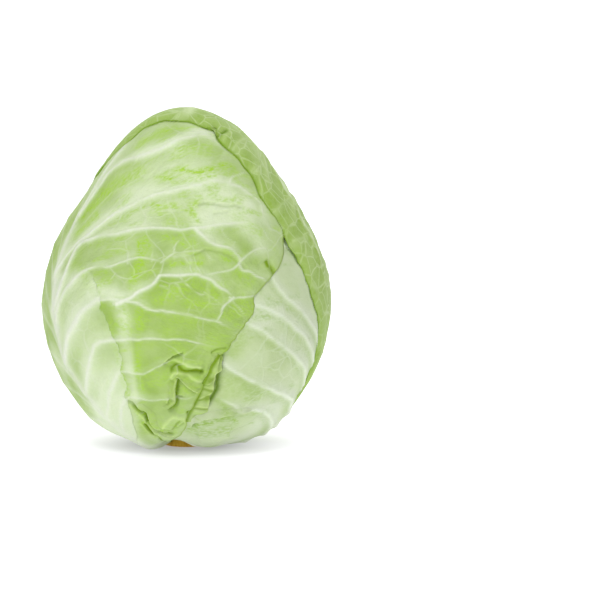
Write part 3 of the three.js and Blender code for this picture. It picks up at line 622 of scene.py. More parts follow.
def innerLeaf(azimuth, seed):
    return {
        "azimuth": azimuth, "tilt": 0, "root": 0.25, "rows": 142, "columns": 133,
        "ragged": {"size": 0.5, "length": 0.25, "seed": seed},
        "ribs": [[(0, y), bend, end, (-bend[0], bend[1]), (-end[0], end[1])] for y, bend, end in innerHalf],
        "midrib": {"height": 1.8, "atTip": 0.2, "width": 7.0, "widthAtTip": 2.0},
        "autoVeins": {"from": 1, "to": 6, "sides": [-1, 1], "height": 0.5, "width": 1.6, "strength": 1.0,
                      "fork": 0.6, "seed": seed},
        "veinWidth": 1.0,
        "edge": {"lift": 0.0, "band": 3.0, "wave": 0.0, "waveLength": 12.0, "blade": 0.6}, "edgeShade": 0.2,
        "net": {"seed": seed, "share": 0.4},
        "puff": {"height": 0.3, "size": 18.0, "fine": 0.1, "fineSize": 8.0, "seed": seed},
        "blade": 0.7,
    }


autoForm = {
    "to": 0.95, "drift": 0.12, "ripple": 0.05, "ripples": 7.0,
    "forkFrom": (0.42, 0.6), "forkTo": 0.97, "forkSpread": 0.9, "forkWidth": 0.75,
}


def autoVeins(leaf):
    # side veins that follow the rows, thinner outwards, with a fork towards the next row in the outer half
    a, auto = autoForm, leaf.settings["autoVeins"]
    random = np.random.default_rng(auto["seed"])
    veins = []
    for row in range(auto["from"], auto["to"] + 1):
        for side in auto["sides"]:
            us = side * np.linspace(0, a["to"], 14)
            drift = random.uniform(-a["drift"], a["drift"]) * np.abs(us)
            drift = drift + a["ripple"] * np.sin(a["ripples"] * us + random.uniform(0, 6))
            veins.append((auto["strength"], auto["width"], leaf.lineAlong(row + drift, us)))
            turn = random.choice([-1, 1])
            start = random.uniform(*a["forkFrom"])
            forkUs = side * np.linspace(start, a["forkTo"], 9)
            spread = turn * a["forkSpread"] * (np.abs(forkUs) - start)
            spread = np.interp(np.abs(forkUs), np.abs(us), drift) + spread
            fork = leaf.lineAlong(row + spread, forkUs)
            veins.append((auto["fork"] * auto["strength"], auto["width"] * a["forkWidth"], fork))
    return veins


veinForm = {
    "mainWidth": 0.55, "mainOver": 0.6,     # a vein this wide begins to count as a main one, and then fully
    "thinStrength": 0.65, "endStrength": 0.6, "endWidth": 0.65, "wornWidening": 0.8, "midrib": 0.6,
    # how wide the whitish line, the swell, the halo and the shade are, in widths of the vein; the halo above
    # a vein is partly its own paleness and partly painted light, the shade below it is painted shade
    "white": 0.8, "swell": 2.8, "halo": 2.8, "shade": 1.8,
    # how far above the vein they lie, in millimetres
    "swellPlace": 0.8, "haloPlace": 1.8, "shadePlace": -3.2,
    "swellHeight": 1.1,                     # in heights of the vein
}
foldForm = {
    "step": 1.5, "ends": 0.12, "top": 0.3,
    "narrow": 5.0, "torn": 12.0,            # below this fall the crest is pale; with this one it is torn
    # painted shade in a valley and the dried line along a tear; painted shade under veins; painted highlight
    # on a crest
    "shadeHeight": 1.3, "shadeWidths": (0.7, 1.6), "tornShade": 0.5, "tornWidth": 0.5, "shadeUnderVeins": 0.12,
    "crestHeight": 1.5, "crestWidth": 0.8,
}
streakForm = {
    "push": 1.6, "pushSize": 5.0, "brush": 0.45, "brushSize": 3.2, "brushLength": 2.2, "driftSize": 24.0,
    "shadeUnderVeins": 0.35, "lessOnVein": 0.9, "lessInHalo": 0.4, "lessWhereWorn": 0.7,
}
fieldForm = {
    "ribVein": 0.6, "ribGlow": (1.7, 1.1),  # how far the midrib's paleness reaches on its right and left
    "netDrift": 0.8, "netDriftSize": 26.0, "netLessOnRib": 0.8, "netLessOnVein": 0.7, "netLessOnRidge": 0.5,
    "calmOnRib": 0.6, "calmInHalo": 0.5, "innerOver": 6.0,
    "waveSlant": 0.35, "waveSine": 0.6, "waveSize": 8.0, "waveSeed": 61,
}
# size and height in millimetres, and seed, of the noises that push points about
pushes = {"wobble": [(7.0, 0.6, 1), (3.0, 0.3, 4)], "ragged": [(10.0, 3.0, 11), (3.2, 1.4, 14)]}
wornForm = {"low": -58.0, "lowOver": 25.0, "lowShare": 0.25, "top": 20.0, "topOver": 8.0}


def pushOf(points, kind):
    # a coarse and a fine noise for each of three directions, so that no vein or crease runs quite straight
    (size, height, seed), (fineSize, fineHeight, fineSeed) = pushes[kind]
    return np.stack([height * softNoise(points, size, seed + k)
                     + fineHeight * softNoise(points, fineSize, fineSeed + k) for k in range(3)], -1)


def veinFields(leaf, wobble, worn):
    # each vein is a narrow ridge on a broad swell, paler above it, partly its own whitish tone and partly
    # painted light, and with painted shade right below
    v, zero = veinForm, np.zeros(len(wobble))
    ridge, swell, white, halo, below = zero, zero, zero, zero, zero
    veins = [(s, w * leaf.settings["veinWidth"], leaf.line(line)) for s, w, line in leaf.settings["veins"]]
    veins += [(s, w, leaf.onBelly(line)) for s, w, line in autoVeins(leaf)]
    height = leaf.settings["autoVeins"]["height"]
    for strength, width, curve in veins:
        main = ease((width - v["mainWidth"]) / v["mainOver"])
        distance, share, side = nearCurve(wobble, curve)
        above = distance * side * np.sign(curve[-1] @ leaf.map.across - curve[0] @ leaf.map.across)
        fade = strength * mix(v["thinStrength"], 1, main) * mix(1, v["endStrength"], share)
        fade = fade * ease((1 - share) * 6)
        wide = width * mix(1, v["endWidth"], share) * (1 + v["wornWidening"] * worn)
        ridge = np.maximum(ridge, height * fade * bell(distance, wide))
        swell = np.maximum(swell, main * fade * bell(above - v["swellPlace"], wide * v["swell"]))
        white = np.maximum(white, fade * bell(distance, wide * v["white"]))
        halo = np.maximum(halo, main * fade * bell(above - v["haloPlace"], wide * v["halo"]))
        below = np.maximum(below, main * fade * bell(above - v["shadePlace"], wide * v["shade"]))
    return ridge, v["swellHeight"] * height * swell, white, halo, below


def foldFields(leaf, points, wobble, relief):
    # each fold has its own height on either side of its line, and falls off with the distance. Valleys get
    # painted shade and narrow crests a painted highlight; a torn line gets the dark dried line along the
    # tear.
    f = foldForm
    fold, crest = np.zeros(len(points)), np.zeros(len(points))
    for left, right, fall, line in leaf.settings["folds"]:
        torn = fall == f["torn"]
        distance, share, side = nearCurve(raggedPoints(points) if torn else wobble, leaf.line(line, 24))
        ends = fadedEnds(share, f["ends"])
        level = mix(right, left, ease(0.5 + side * distance / f["step"]))
        relief = relief + ends * level * np.exp(-np.maximum(distance - f["top"], 0) / fall)
        if torn:
            shade = f["tornShade"] * bell(distance, f["tornWidth"])
        else:
            width = np.clip(0.5 * fall, *f["shadeWidths"])
            shade = np.clip(-level / f["shadeHeight"], 0, 1) * bell(distance, width)
        fold = np.maximum(fold, ends * shade)
        if fall < f["narrow"]:
            height = np.clip(level / f["crestHeight"], 0, 1)
            crest = np.maximum(crest, ends * height * bell(distance, f["crestWidth"]))
    return relief, fold, crest


def streakField(leaf, points, place):
    # greener strokes with ragged sides, and fainter ones brushed over the whole leaf
    k = streakForm
    ragged = points + k["push"] * np.stack([softNoise(points, k["pushSize"], seed) for seed in (6, 7, 8)], -1)
    streak = np.zeros(len(points))
    for strength, wide, line in leaf.settings["streaks"]:
        streak = np.maximum(streak, strength * bell(nearCurve(ragged, leaf.line(line, 5))[0], wide))
    drawn = np.stack([place[:, 0] / k["brushLength"], place[:, 1], 0 * place[:, 0]], -1)
    brush, drift = softNoise(drawn, k["brushSize"], 51), softNoise(points, k["driftSize"], 52)
    return streak, k["brush"] * ease(brush * 1.5 + drift - 0.2)


def leafFields(leaf, rows, us):
    # what the leaf's outside needs at each grid point: relief in millimetres, and masks for its colour
    f, settings = fieldForm, leaf.settings
    xy = leaf.places(rows, us)
    ways = leaf.map.ways(xy).reshape(-1, 3)
    points = ways * headForm["belly"]
    grid = points.reshape(len(rows), len(us), 3)
    alongRow = np.cumsum(np.linalg.norm(np.diff(grid, axis=1, prepend=grid[:, :1]), axis=-1), 1)
    alongRow -= alongRow[:, [np.abs(us).argmin()]]
    acrossRows = np.cumsum(np.linalg.norm(np.diff(grid, axis=0, prepend=grid[:1]), axis=-1).mean(1))
    place = np.stack([alongRow, np.broadcast_to(acrossRows[:, None], alongRow.shape)], -1).reshape(-1, 2)
    wobble = points + pushOf(points, "wobble")
    worn = wornSide(leaf, xy.reshape(-1, 2), points)
    fromEdge = leaf.toEdge(points)

    midrib = settings["midrib"]
    distance, share, side = nearCurve(points, leaf.midrib)
    ribWidth = mix(midrib["width"], midrib["widthAtTip"], share)
    relief = mix(midrib["height"], midrib["atTip"], share) * bell(distance, ribWidth)
    right, left = f["ribGlow"]
    ribGlow = bell(distance, ribWidth * np.where(side > 0, left, right))

    ridge, swell, white, halo, below = veinFields(leaf, wobble, worn)
    vein = np.maximum(veinForm["midrib"] * bell(distance, ribWidth * f["ribVein"]), white)
    relief = relief + ridge + swell

    # where the net of fine veins shows
    net = settings["net"]
    shown = ease(net["share"] + f["netDrift"] * softNoise(points, f["netDriftSize"], net["seed"]))
    shown = shown * (1 - f["netLessOnRib"] * ribGlow)
    shown = leaf.withStrokes(shown, points, "netPlaces", 8)
    line = np.clip(vein + f["netLessOnRidge"] * ridge, 0, 1)
    shown = np.clip(shown, 0, 1) * (1 - f["netLessOnVein"] * line)

    puff = settings["puff"]
    calm = (1 - f["calmOnRib"] * ribGlow) * (1 - f["calmInHalo"] * halo)
    relief = relief + calm * (puff["height"] * softNoise(points, puff["size"], puff["seed"])
                              + puff["fine"] * softNoise(points, puff["fineSize"], puff["seed"] + 1))

    relief, fold, crest = foldFields(leaf, points, wobble, relief)
    # painted shade right below the main veins, except on the worn side
    fold = np.maximum(fold, foldForm["shadeUnderVeins"] * below * (1 - worn))
    relief = leaf.withStrokes(relief, points, "lifts")

    k = streakForm
    streak, brushed = streakField(leaf, points, place)
    streak = np.maximum(streak, brushed * (1 - ribGlow))
    # greener right below the main veins: painted shade
    streak = np.maximum(streak, k["shadeUnderVeins"] * below * (1 - worn))
    streak = streak * (1 - k["lessOnVein"] * vein) * (1 - k["lessInHalo"] * halo)
    streak = streak * (1 - k["lessWhereWorn"] * worn)

    edge = settings["edge"]
    turn = 2 * np.pi * (place[:, 0] * f["waveSlant"] + place[:, 1]) / edge["waveLength"]
    wave = f["waveSine"] * np.sin(turn) + softNoise(points, f["waveSize"], f["waveSeed"])
    wave = 1 + edge["wave"] * wave
    return {
        "ways": ways, "points": points, "relief": relief,
        "fromEdge": fromEdge, "inner": ease(fromEdge / f["innerOver"]),
        "lift": edge["lift"] * wave * bell(fromEdge, edge["band"]),
        "vein": vein, "halo": halo, "ribGlow": ribGlow, "streak": streak, "fold": fold, "crest": crest,
        "worn": worn, "net": shown, "place": np.column_stack([place, 0 * place[:, 0]]),
    }


def wornSide(leaf, xy, points):
    # 1 on the smooth whitish side of the torn line, 0 on the side that lies over it
    if "torn" not in leaf.settings:
        return np.zeros(len(xy))
    distance, _, side = nearCurve(raggedPoints(points), leaf.line(leaf.settings["torn"], 30))
    return ease(0.5 + side * distance) * ease((wornForm["top"] - xy[:, 1]) / wornForm["topOver"])


def raggedPoints(points):
    # points pushed about by a few millimetres, less so low down
    high = ease((points[:, 2:] - wornForm["low"]) / wornForm["lowOver"])
    return points + pushOf(points, "ragged") * mix(wornForm["lowShare"], 1, high)


def gridFaces(rows, columns, first=0, flip=False):
    at = first + np.arange(rows * columns).reshape(rows, columns)
    faces = np.stack([at[:-1, :-1], at[:-1, 1:], at[1:, 1:], at[1:, :-1]], -1).reshape(-1, 4)
    return faces[:, ::-1] if flip else faces


def borderOf(at):
    return np.concatenate([at[0, :-1], at[:-1, -1], at[-1, :0:-1], at[:0:-1, 0]])


def meshFrom(name, points, quads, triangles, values=None):
    mesh = bpy.data.meshes.new(name)
    corners = np.concatenate([quads.ravel(), triangles.ravel()])
    starts = np.concatenate([4 * np.arange(len(quads)), 4 * len(quads) + 3 * np.arange(len(triangles))])
    mesh.vertices.add(len(points))
    mesh.vertices.foreach_set("co", (points / 1000).astype(np.float32).ravel())
    mesh.loops.add(len(corners))
    mesh.loops.foreach_set("vertex_index", corners.astype(np.int32))
    mesh.polygons.add(len(starts))
    mesh.polygons.foreach_set("loop_start", starts.astype(np.int32))
    mesh.update(calc_edges=True)
    mesh.validate()
    mesh.polygons.foreach_set("use_smooth", np.ones(len(starts), bool))
    for label, value in (values or {}).items():
        kind, field = ("FLOAT_VECTOR", "vector") if value.ndim == 2 else ("FLOAT", "value")
        attribute = mesh.attributes.new(label, kind, "POINT")
        attribute.data.foreach_set(field, value.astype(np.float32).ravel())
    piece = bpy.data.objects.new(name, mesh)
    bpy.context.scene.collection.objects.link(piece)
    return piece


def slidingLowest(values, at, reach):
    # the lowest value within a reach of every third grid line; a border line looks only along itself
    size = len(values)
    spans = [np.clip(np.array(at) + k, 0, size - 1) for k in range(-reach, reach + 1)]
    for line, end in ((0, 0), (-1, size - 1)):
        for span in spans:
            span[line] = end
    return np.min([values[span] for span in spans], axis=0)


flapForm = {
    "columns": 12, "ragged": 1.4, "raggedSize": 4.0, "crimpSize": 3.4,
    "ends": 0.16, "endLift": -0.4,          # towards its ends a flap's line sinks at least this far
    "sheet": 0.45, "thinner": 0.2,          # thickness at the sunk line, and how much less at the free edge
    # how much painted highlight and painted shade the crimps, the crossings and the tuck get
    "crimpShade": 1.6, "crimpHighlightMost": 0.8, "crimpShadeMost": 0.7, "crestWidth": 0.7,
    "crossWidth": 0.5, "crossShade": 0.7, "crossPast": 1.3, "crossShadeWidth": 0.8,
    "tuckShade": 0.9, "tuckPast": 1.2, "tuckWidth": 1.2,
    "around": 4, "reach": 0.3,
}


def leafUnder(places, ways, outer):
    # the leaf's own height at each place, from the four points around it, and which point is the nearest
    middle = places.mean(0)
    near = ((ways - middle / np.linalg.norm(middle)) ** 2).sum(-1) < flapForm["reach"] ** 2
    close = np.nonzero(near)[0]
    gap = ((places[:, None] - ways[close]) ** 2).sum(-1)
    picked = np.argpartition(gap, flapForm["around"], axis=1)[:, :flapForm["around"]]
    weight = 1 / (np.take_along_axis(gap, picked, 1) + 1e-7)
    return (outer[close][picked] * weight).sum(1) / weight.sum(1), close[gap.argmin(1)]


def flapShell(leaf, flap, ways, outer, first):
    # a fold that lies over the leaf: a thin closed sheet from a sunk line to a free edge, lifted off what is
    # below it. It gives points, faces, and which of the leaf's own points each takes its colours from.
    f = flapForm
    alongs, acrosses = np.linspace(0, 1, flap["count"]), np.linspace(0, 1, f["columns"])
    toFree = np.tile(acrosses, len(alongs))
    sunk, free = (smoothLine(flap[side], flap["count"]) for side in ("sunk", "free"))
    free = free + f["ragged"] * flap["crimp"] * np.stack(
        [softNoise(leaf.onBelly(free), f["raggedSize"], flap["seed"] + k) for k in (1, 2)], -1)
    places = mix(sunk[:, None], free[:, None], acrosses[None, :, None])
    places = leaf.map.ways(places).reshape(-1, 3)
    around, nearest = leafUnder(places, ways, outer)
    base = around if flap["on"] == "leaf" else headRadius(places)
    ends = fadedEnds(alongs, f["ends"])
    rise = mix(flap["sunkLift"], flap["freeLift"], ease(acrosses))
    rise = rise + flap["bulge"] * np.sin(np.pi * acrosses)
    rise = mix(min(flap["sunkLift"], f["endLift"]), rise[None, :], ends[:, None]).ravel()
    crimp = flap["crimp"] * softNoise(places * headForm["belly"], f["crimpSize"], flap["seed"]) * toFree
    radius = base + (rise + crimp * np.repeat(ends, len(acrosses)))
    under = radius - (f["sheet"] - f["thinner"] * toFree)
    points = np.concatenate([places * radius[:, None], places * under[:, None]]) + (0, 0, headForm["middle"])

    at = first + np.arange(len(places)).reshape(len(alongs), len(acrosses))
    ring, low = borderOf(at), borderOf(at + len(places))
    side = np.stack([ring, low, np.roll(low, -1), np.roll(ring, -1)], -1)
    flip = np.cross(free[0] - sunk[0], sunk[-1] - sunk[0]) < 0
    faces = np.concatenate([
        gridFaces(*at.shape, first=first, flip=flip),
        gridFaces(*at.shape, first=first + len(places), flip=not flip),
        side[:, ::-1] if flip else side])

    # painted highlight along the free edge, on what is crimped up and on a crossing crease; painted shade
    # where it is crimped down, just past a crossing and where it is tucked in
    width = np.linalg.norm(leaf.onBelly(sunk) - leaf.onBelly(free), axis=-1)
    crest = bell(np.outer(width, 1 - acrosses).ravel(), f["crestWidth"])
    crest = np.maximum(crest, np.clip(f["crimpShade"] * crimp, 0, f["crimpHighlightMost"]))
    fold = np.clip(-f["crimpShade"] * crimp, 0, f["crimpShadeMost"])
    length = np.linalg.norm(leaf.onBelly(free[-1]) - leaf.onBelly(free[0]))
    for place, slant in flap["crossings"]:
        past = np.subtract.outer((alongs - place) * length, slant * (acrosses - 0.5)).ravel()
        crest = np.maximum(crest, bell(past, f["crossWidth"]))
        fold = np.maximum(fold, f["crossShade"] * bell(past - f["crossPast"], f["crossShadeWidth"]))
    if flap["on"] == "head":
        past = np.outer(width, acrosses).ravel() - f["tuckPast"]
        fold = np.maximum(fold, f["tuckShade"] * bell(past, f["tuckWidth"]))
    return points, faces, np.tile(nearest, 2), np.tile(crest, 2), np.tile(fold, 2)


shellForm = {
    "hiddenFrom": 0.93, "hiddenOver": 0.07, "pressed": 0.7,     # relief under other leaves is pressed flat
    "deepest": 0.9, "reliefAtEdge": 0.35, "bladeOver": 5.0,
    "footRows": (0.6, 0.9), "footWidth": 6.0, "footBlade": 3.0,     # thicker where it grows from the stem
    "coarser": 3,                           # the underside has every third line of the outside's grid
    "edgeShadeWidth": 0.6, "steep": -0.5, "flapVein": 0.3,
}


def leafRadius(fields, above):
    # how far out the leaf's outside lies, with all that presses on it and its own relief
    s, ways, relief = shellForm, fields["ways"], fields["relief"]
    covered = np.array([other.cover(ways) for other in above]).reshape(len(above), len(ways))
    hidden = 1 - np.prod(1 - ease((covered - s["hiddenFrom"]) / s["hiddenOver"]), axis=0)
    relief = np.where(relief < 0, -s["deepest"] * np.tanh(-relief / s["deepest"]), relief)
    radius = headRadius(ways) - headForm["layer"] * covered.sum(0)
    radius = radius + (1 - s["pressed"] * hidden) * relief * mix(s["reliefAtEdge"], 1, fields["inner"])
    radius = radius + (1 - hidden) * fields["lift"]
    lowest = (headForm["floor"] - headForm["middle"]) / np.minimum(ways[:, 2], s["steep"])
    return np.where(ways[:, 2] < s["steep"], np.minimum(radius, lowest), radius)


def leafPiece(name, leaf, above):
    s, settings = shellForm, leaf.settings
    rows, us = leaf.evenRows(settings["rows"]), leaf.evenColumns(settings["columns"])
    shape = (len(rows), len(us))
    fields = leafFields(leaf, rows, us)
    ways = fields["ways"]
    # painted shade along the edges of the leaves that lie over this one
    for other in above:
        edgeShade = other.settings["edgeShade"] * bell(other.toEdge(fields["points"]), s["edgeShadeWidth"])
        fields["fold"] = np.maximum(fields["fold"], edgeShade)
    radius = leafRadius(fields, above)

    blade = mix(settings["edge"]["blade"], settings["blade"], ease(fields["fromEdge"] / s["bladeOver"]))
    highest, over = s["footRows"]
    foot = ease((highest - (rows - leaf.first)) / over)[:, None] * bell(us * s["footWidth"], 1)[None, :]
    blade = (blade + s["footBlade"] * foot.ravel()).reshape(shape)
    outer = radius.reshape(shape)
    rowsAt, columnsAt = (np.arange(0, size, s["coarser"]) for size in shape)
    below = np.ix_(rowsAt, columnsAt)
    lowestRow = slidingLowest(outer, rowsAt, s["coarser"])
    under = slidingLowest(lowestRow.T, columnsAt, s["coarser"]).T - blade[below]
    # the underside's border stays right below the edge
    exact = (outer - blade)[below]
    under[[0, -1]], under[:, [0, -1]] = exact[[0, -1]], exact[:, [0, -1]]

    middle = np.array([0, 0, headForm["middle"]])
    waysGrid = ways.reshape(*shape, 3)
    points = np.concatenate([
        (waysGrid * outer[..., None] + middle).reshape(-1, 3),
        (waysGrid[below] * under[..., None] + middle).reshape(-1, 3),
    ])
    # the rim: for each step of the underside's border, three steps of the outside's
    outerAt = np.arange(outer.size).reshape(shape)
    lower = borderOf(outer.size + np.arange(under.size).reshape(under.shape))
    rim = borderOf(outerAt)
    rim = np.concatenate([rim, rim[:1]])
    o0, o1, o2, o3 = rim[:-1:3], rim[1::3], rim[2::3], rim[3::3]
    n0, n1 = lower, np.roll(lower, -1)
    fans = (n0, o1, o0), (n0, o2, o1), (n0, n1, o2), (n1, o3, o2)
    triangles = np.concatenate([np.stack(fan, -1) for fan in fans])
    quads = np.concatenate([gridFaces(*shape), gridFaces(*under.shape, first=outer.size, flip=True)])

    masks = leafColours(leaf, fields)
    values = {label: np.concatenate([mask, mask[outerAt[below].ravel()]]) for label, mask in masks.items()}
    for flap in settings["flaps"]:
        flap = {**plainFlap, **flap}
        more, faces, nearest, crest, fold = flapShell(leaf, flap, ways, radius, len(points))
        points, quads = np.concatenate([points, more]), np.concatenate([quads, faces])
        own = {label: mask[nearest] for label, mask in masks.items()}
        # a flap takes the leaf's colours, with its own painted highlight and painted shade, no edge colour
        # and fainter veins
        own.update(edge=0 * fold, crest=crest, fold=fold, vein=s["flapVein"] * own["vein"])
        values = {label: np.concatenate([values[label], own[label]]) for label in masks}
    piece = meshFrom(name, points, quads, triangles, values)
    print(name, len(quads) * 2 + len(triangles), "triangles")
    return piece


paleForm = {
    "rib": 0.5, "halo": 0.52, "drift": 0.35, "driftSize": 34.0, "worn": 0.45, "step": 4.5, "stepEnds": 0.1,
    "edgeWidth": 0.6,
}


def leafColours(leaf, fields):
    # masks that the leaf's material mixes its colours by
    p, points = paleForm, fields["points"]
    large = softNoise(points, p["driftSize"], 71)
    # the halo above each main vein is partly painted light
    pale = p["rib"] * fields["ribGlow"] + p["halo"] * fields["halo"] + p["drift"] * large
    pale = pale + p["worn"] * fields["worn"] + leaf.settings["paleness"]
    for left, right, fall, line in leaf.settings["shades"]:
        distance, share, side = nearCurve(points, leaf.line(line))
        step = mix(right, left, ease(0.5 + side * distance / p["step"])) * np.exp(-distance / fall)
        pale = pale + step * ease(share / p["stepEnds"]) * ease((1 - share) / p["stepEnds"])
    pale = leaf.withStrokes(pale, points, "pales")
    masks = {label: np.clip(fields[label], 0, 1) for label in ("vein", "crest", "streak", "fold")}
    masks.update(pale=np.clip(pale, 0, 1), edge=bell(fields["fromEdge"], p["edgeWidth"]))
    masks.update(net=fields["net"], place=fields["place"])
    return masks


def linear(red, green, blue):
    # a screen colour, 0 to 255, as the linear light that a shader wants
    part = np.array([red, green, blue]) / 255
    light = np.where(part <= 0.04045, part / 12.92, ((part + 0.055) / 1.055) ** 2.4)
    return (*light.tolist(), 1.0)


threadForm = {
    "bend": 0.4, "bendScale": 90.0, "bendDetail": 1.5,
    # cell and width, in those of the main net, and strength
    "nets": [(1.0, 1.0, 1.0), (0.42, 0.5, 0.2)],
}


class Nodes:
    # a short way to add and join shader nodes
    def __init__(self, name):
        self.material = bpy.data.materials.new(name)
        self.material.use_nodes = True
        self.tree = self.material.node_tree
        self.shader = self.tree.nodes["Principled BSDF"]

    def add(self, kind, settings=None, **inputs):
        node = self.tree.nodes.new(kind)
        for label, value in (settings or {}).items():
            setattr(node, label, value)
        for label, value in inputs.items():
            self.put(node.inputs[label.replace("_", " ")], value)
        return node

    def put(self, socket, value):
        if isinstance(value, bpy.types.NodeSocket):
            self.tree.links.new(value, socket)
        else:
            socket.default_value = value

    def mask(self, label):
        return self.add("ShaderNodeAttribute", {"attribute_name": label}).outputs["Fac"]

    def maths(self, operation, first, second, clamp=False):
        node = self.add("ShaderNodeMath", {"operation": operation, "use_clamp": clamp})
        self.put(node.inputs[0], first)
        self.put(node.inputs[1], second)
        return node.outputs[0]

    def times(self, first, second):
        return self.maths("MULTIPLY", first, second, True)

    def bump(self, height, strength, distance, under=None):
        node = self.add("ShaderNodeBump", Height=height, Strength=strength, Distance=distance)
        if under is not None:
            self.put(node.inputs["Normal"], under)
        return node.outputs[0]

    def surface(self, colour, roughness):
        self.put(self.shader.inputs["Base Color"], colour)
        self.put(self.shader.inputs["Roughness"], roughness)

    def blend(self, share, first, second):
        node = self.add("ShaderNodeMix", {"data_type": "RGBA"})
        self.put(node.inputs[0], share)
        self.put(node.inputs[6], first)
        self.put(node.inputs[7], second)
        return node.outputs[2]

    def noise(self, scale, detail=3.0, rough=0.55):
        place = self.add("ShaderNodeTexCoord").outputs["Object"]
        noise = self.add("ShaderNodeTexNoise", Vector=place, Scale=scale, Detail=detail, Roughness=rough)
        return noise.outputs["Fac"]

    def brushed(self, scale, stretch, detail):
        # noise in the leaf's own millimetres, drawn out along the side veins
        place = self.add("ShaderNodeAttribute", {"attribute_name": "place"}).outputs["Vector"]
        drawn = self.add("ShaderNodeMapping", Vector=place)
        drawn.inputs["Scale"].default_value = (*stretch, 1.0)
        noise = self.add("ShaderNodeTexNoise", Vector=drawn.outputs[0], Scale=scale, Detail=detail)
        return noise.outputs["Fac"]

    def threads(self, cell, width):
        # a net of fine veins between bent cells, in millimetres, with a fainter and finer one inside it
        f, place = threadForm, self.add("ShaderNodeTexCoord").outputs["Object"]
        bend = self.add("ShaderNodeTexNoise", Vector=place, Scale=f["bendScale"], Detail=f["bendDetail"])
        push = self.add("ShaderNodeVectorMath", {"operation": "SCALE"}, Scale=f["bend"] * cell / 1000)
        self.put(push.inputs[0], bend.outputs["Color"])
        bent = self.add("ShaderNodeVectorMath", {"operation": "ADD"})
        self.put(bent.inputs[0], place)
        self.put(bent.inputs[1], push.outputs[0])
        lines = []
        for size, wide, strength in f["nets"]:
            cells = self.add("ShaderNodeTexVoronoi", {"feature": "DISTANCE_TO_EDGE"},
                             Vector=bent.outputs[0], Scale=1000 / (cell * size))
            edge = width * wide / (cell * size)
            lines.append(self.spread(cells.outputs["Distance"], 0.0, edge, strength, 0.0))
        return self.maths("MAXIMUM", *lines)

    def spread(self, value, low, high, toLow=0.0, toHigh=1.0):
        node = self.add("ShaderNodeMapRange", Value=value)
        for label, number in zip(("From Min", "From Max", "To Min", "To Max"), (low, high, toLow, toHigh)):
            node.inputs[label].default_value = number
        return node.outputs[0]


# screen colours, 0 to 255, among them the painted shade in valleys and under edges and the painted
# highlight on crests; roughness from and to; the net's cell and thread in millimetres
leafLooks = {
    "frontLeaf": {
        "colours": {
            "lamina": (168, 194, 112), "laminaDeep": (150, 180, 86), "pale": (218, 231, 194),
            "streak": (166, 206, 64), "vein": (230, 235, 218), "edge": (138, 170, 34),
            "fold": (112, 144, 0), "crest": (214, 236, 154),
        },
        "roughness": (0.42, 0.58), "crinkle": 1.8, "net": (17.0, 0.8), "netColour": 0.35,
    },
    "backLeaf": {
        "colours": {
            "lamina": (152, 184, 74), "laminaDeep": (137, 171, 52), "pale": (206, 224, 168),
            "streak": (136, 172, 56), "vein": (208, 225, 170), "edge": (122, 160, 6),
            "fold": (96, 132, 0), "crest": (200, 220, 150),
        },
        "roughness": (0.48, 0.62), "crinkle": 0.9, "net": (8.5, 0.7), "netColour": 0.65,
    },
    "rightLeaf": {
        "colours": {
            "lamina": (186, 205, 146), "laminaDeep": (170, 193, 120), "pale": (208, 219, 188),
            "streak": (152, 186, 86), "vein": (228, 236, 216), "edge": (150, 176, 80),
            "fold": (90, 122, 0), "crest": (214, 230, 160),
        },
        "roughness": (0.42, 0.58), "crinkle": 0.9, "net": (11.0, 0.7), "netColour": 0.4,
    },
    "innerLeaf": {
        "colours": {
            "lamina": (222, 231, 188), "laminaDeep": (212, 224, 168), "pale": (232, 237, 214),
            "streak": (196, 216, 140), "vein": (240, 243, 226), "edge": (196, 210, 140),
            "fold": (170, 195, 110), "crest": (234, 240, 200),
        },
        "roughness": (0.4, 0.55), "crinkle": 0.6, "net": (11.0, 0.8), "netColour": 0.4,
    },
}


surfaceForm = {
    # scales of the even patterns
    "mottle": 70.0, "freckles": 190.0, "grain": 900.0, "pores": 420.0,
    # scale, stretch and detail of those that run along the side veins
    "flecks": (0.8, (0.6, 1.0), 5.0), "crinkle": (0.33, (0.7, 1.0), 6.0),
    "freckled": 0.14, "specked": 0.10, "crested": 0.6, "edged": 0.75,
    "shine": (0.3, 0.02),                   # on the open leaf, and down in a fold
    "glow": 0.15, "glowRadius": (1.0, 1.2, 0.5), "glowScale": 0.0015,
    # strength and height in metres of each relief
    "netRelief": (0.6, 0.0003), "crinkleRelief": 0.5, "fineRelief": (0.35, 0.00012),
}


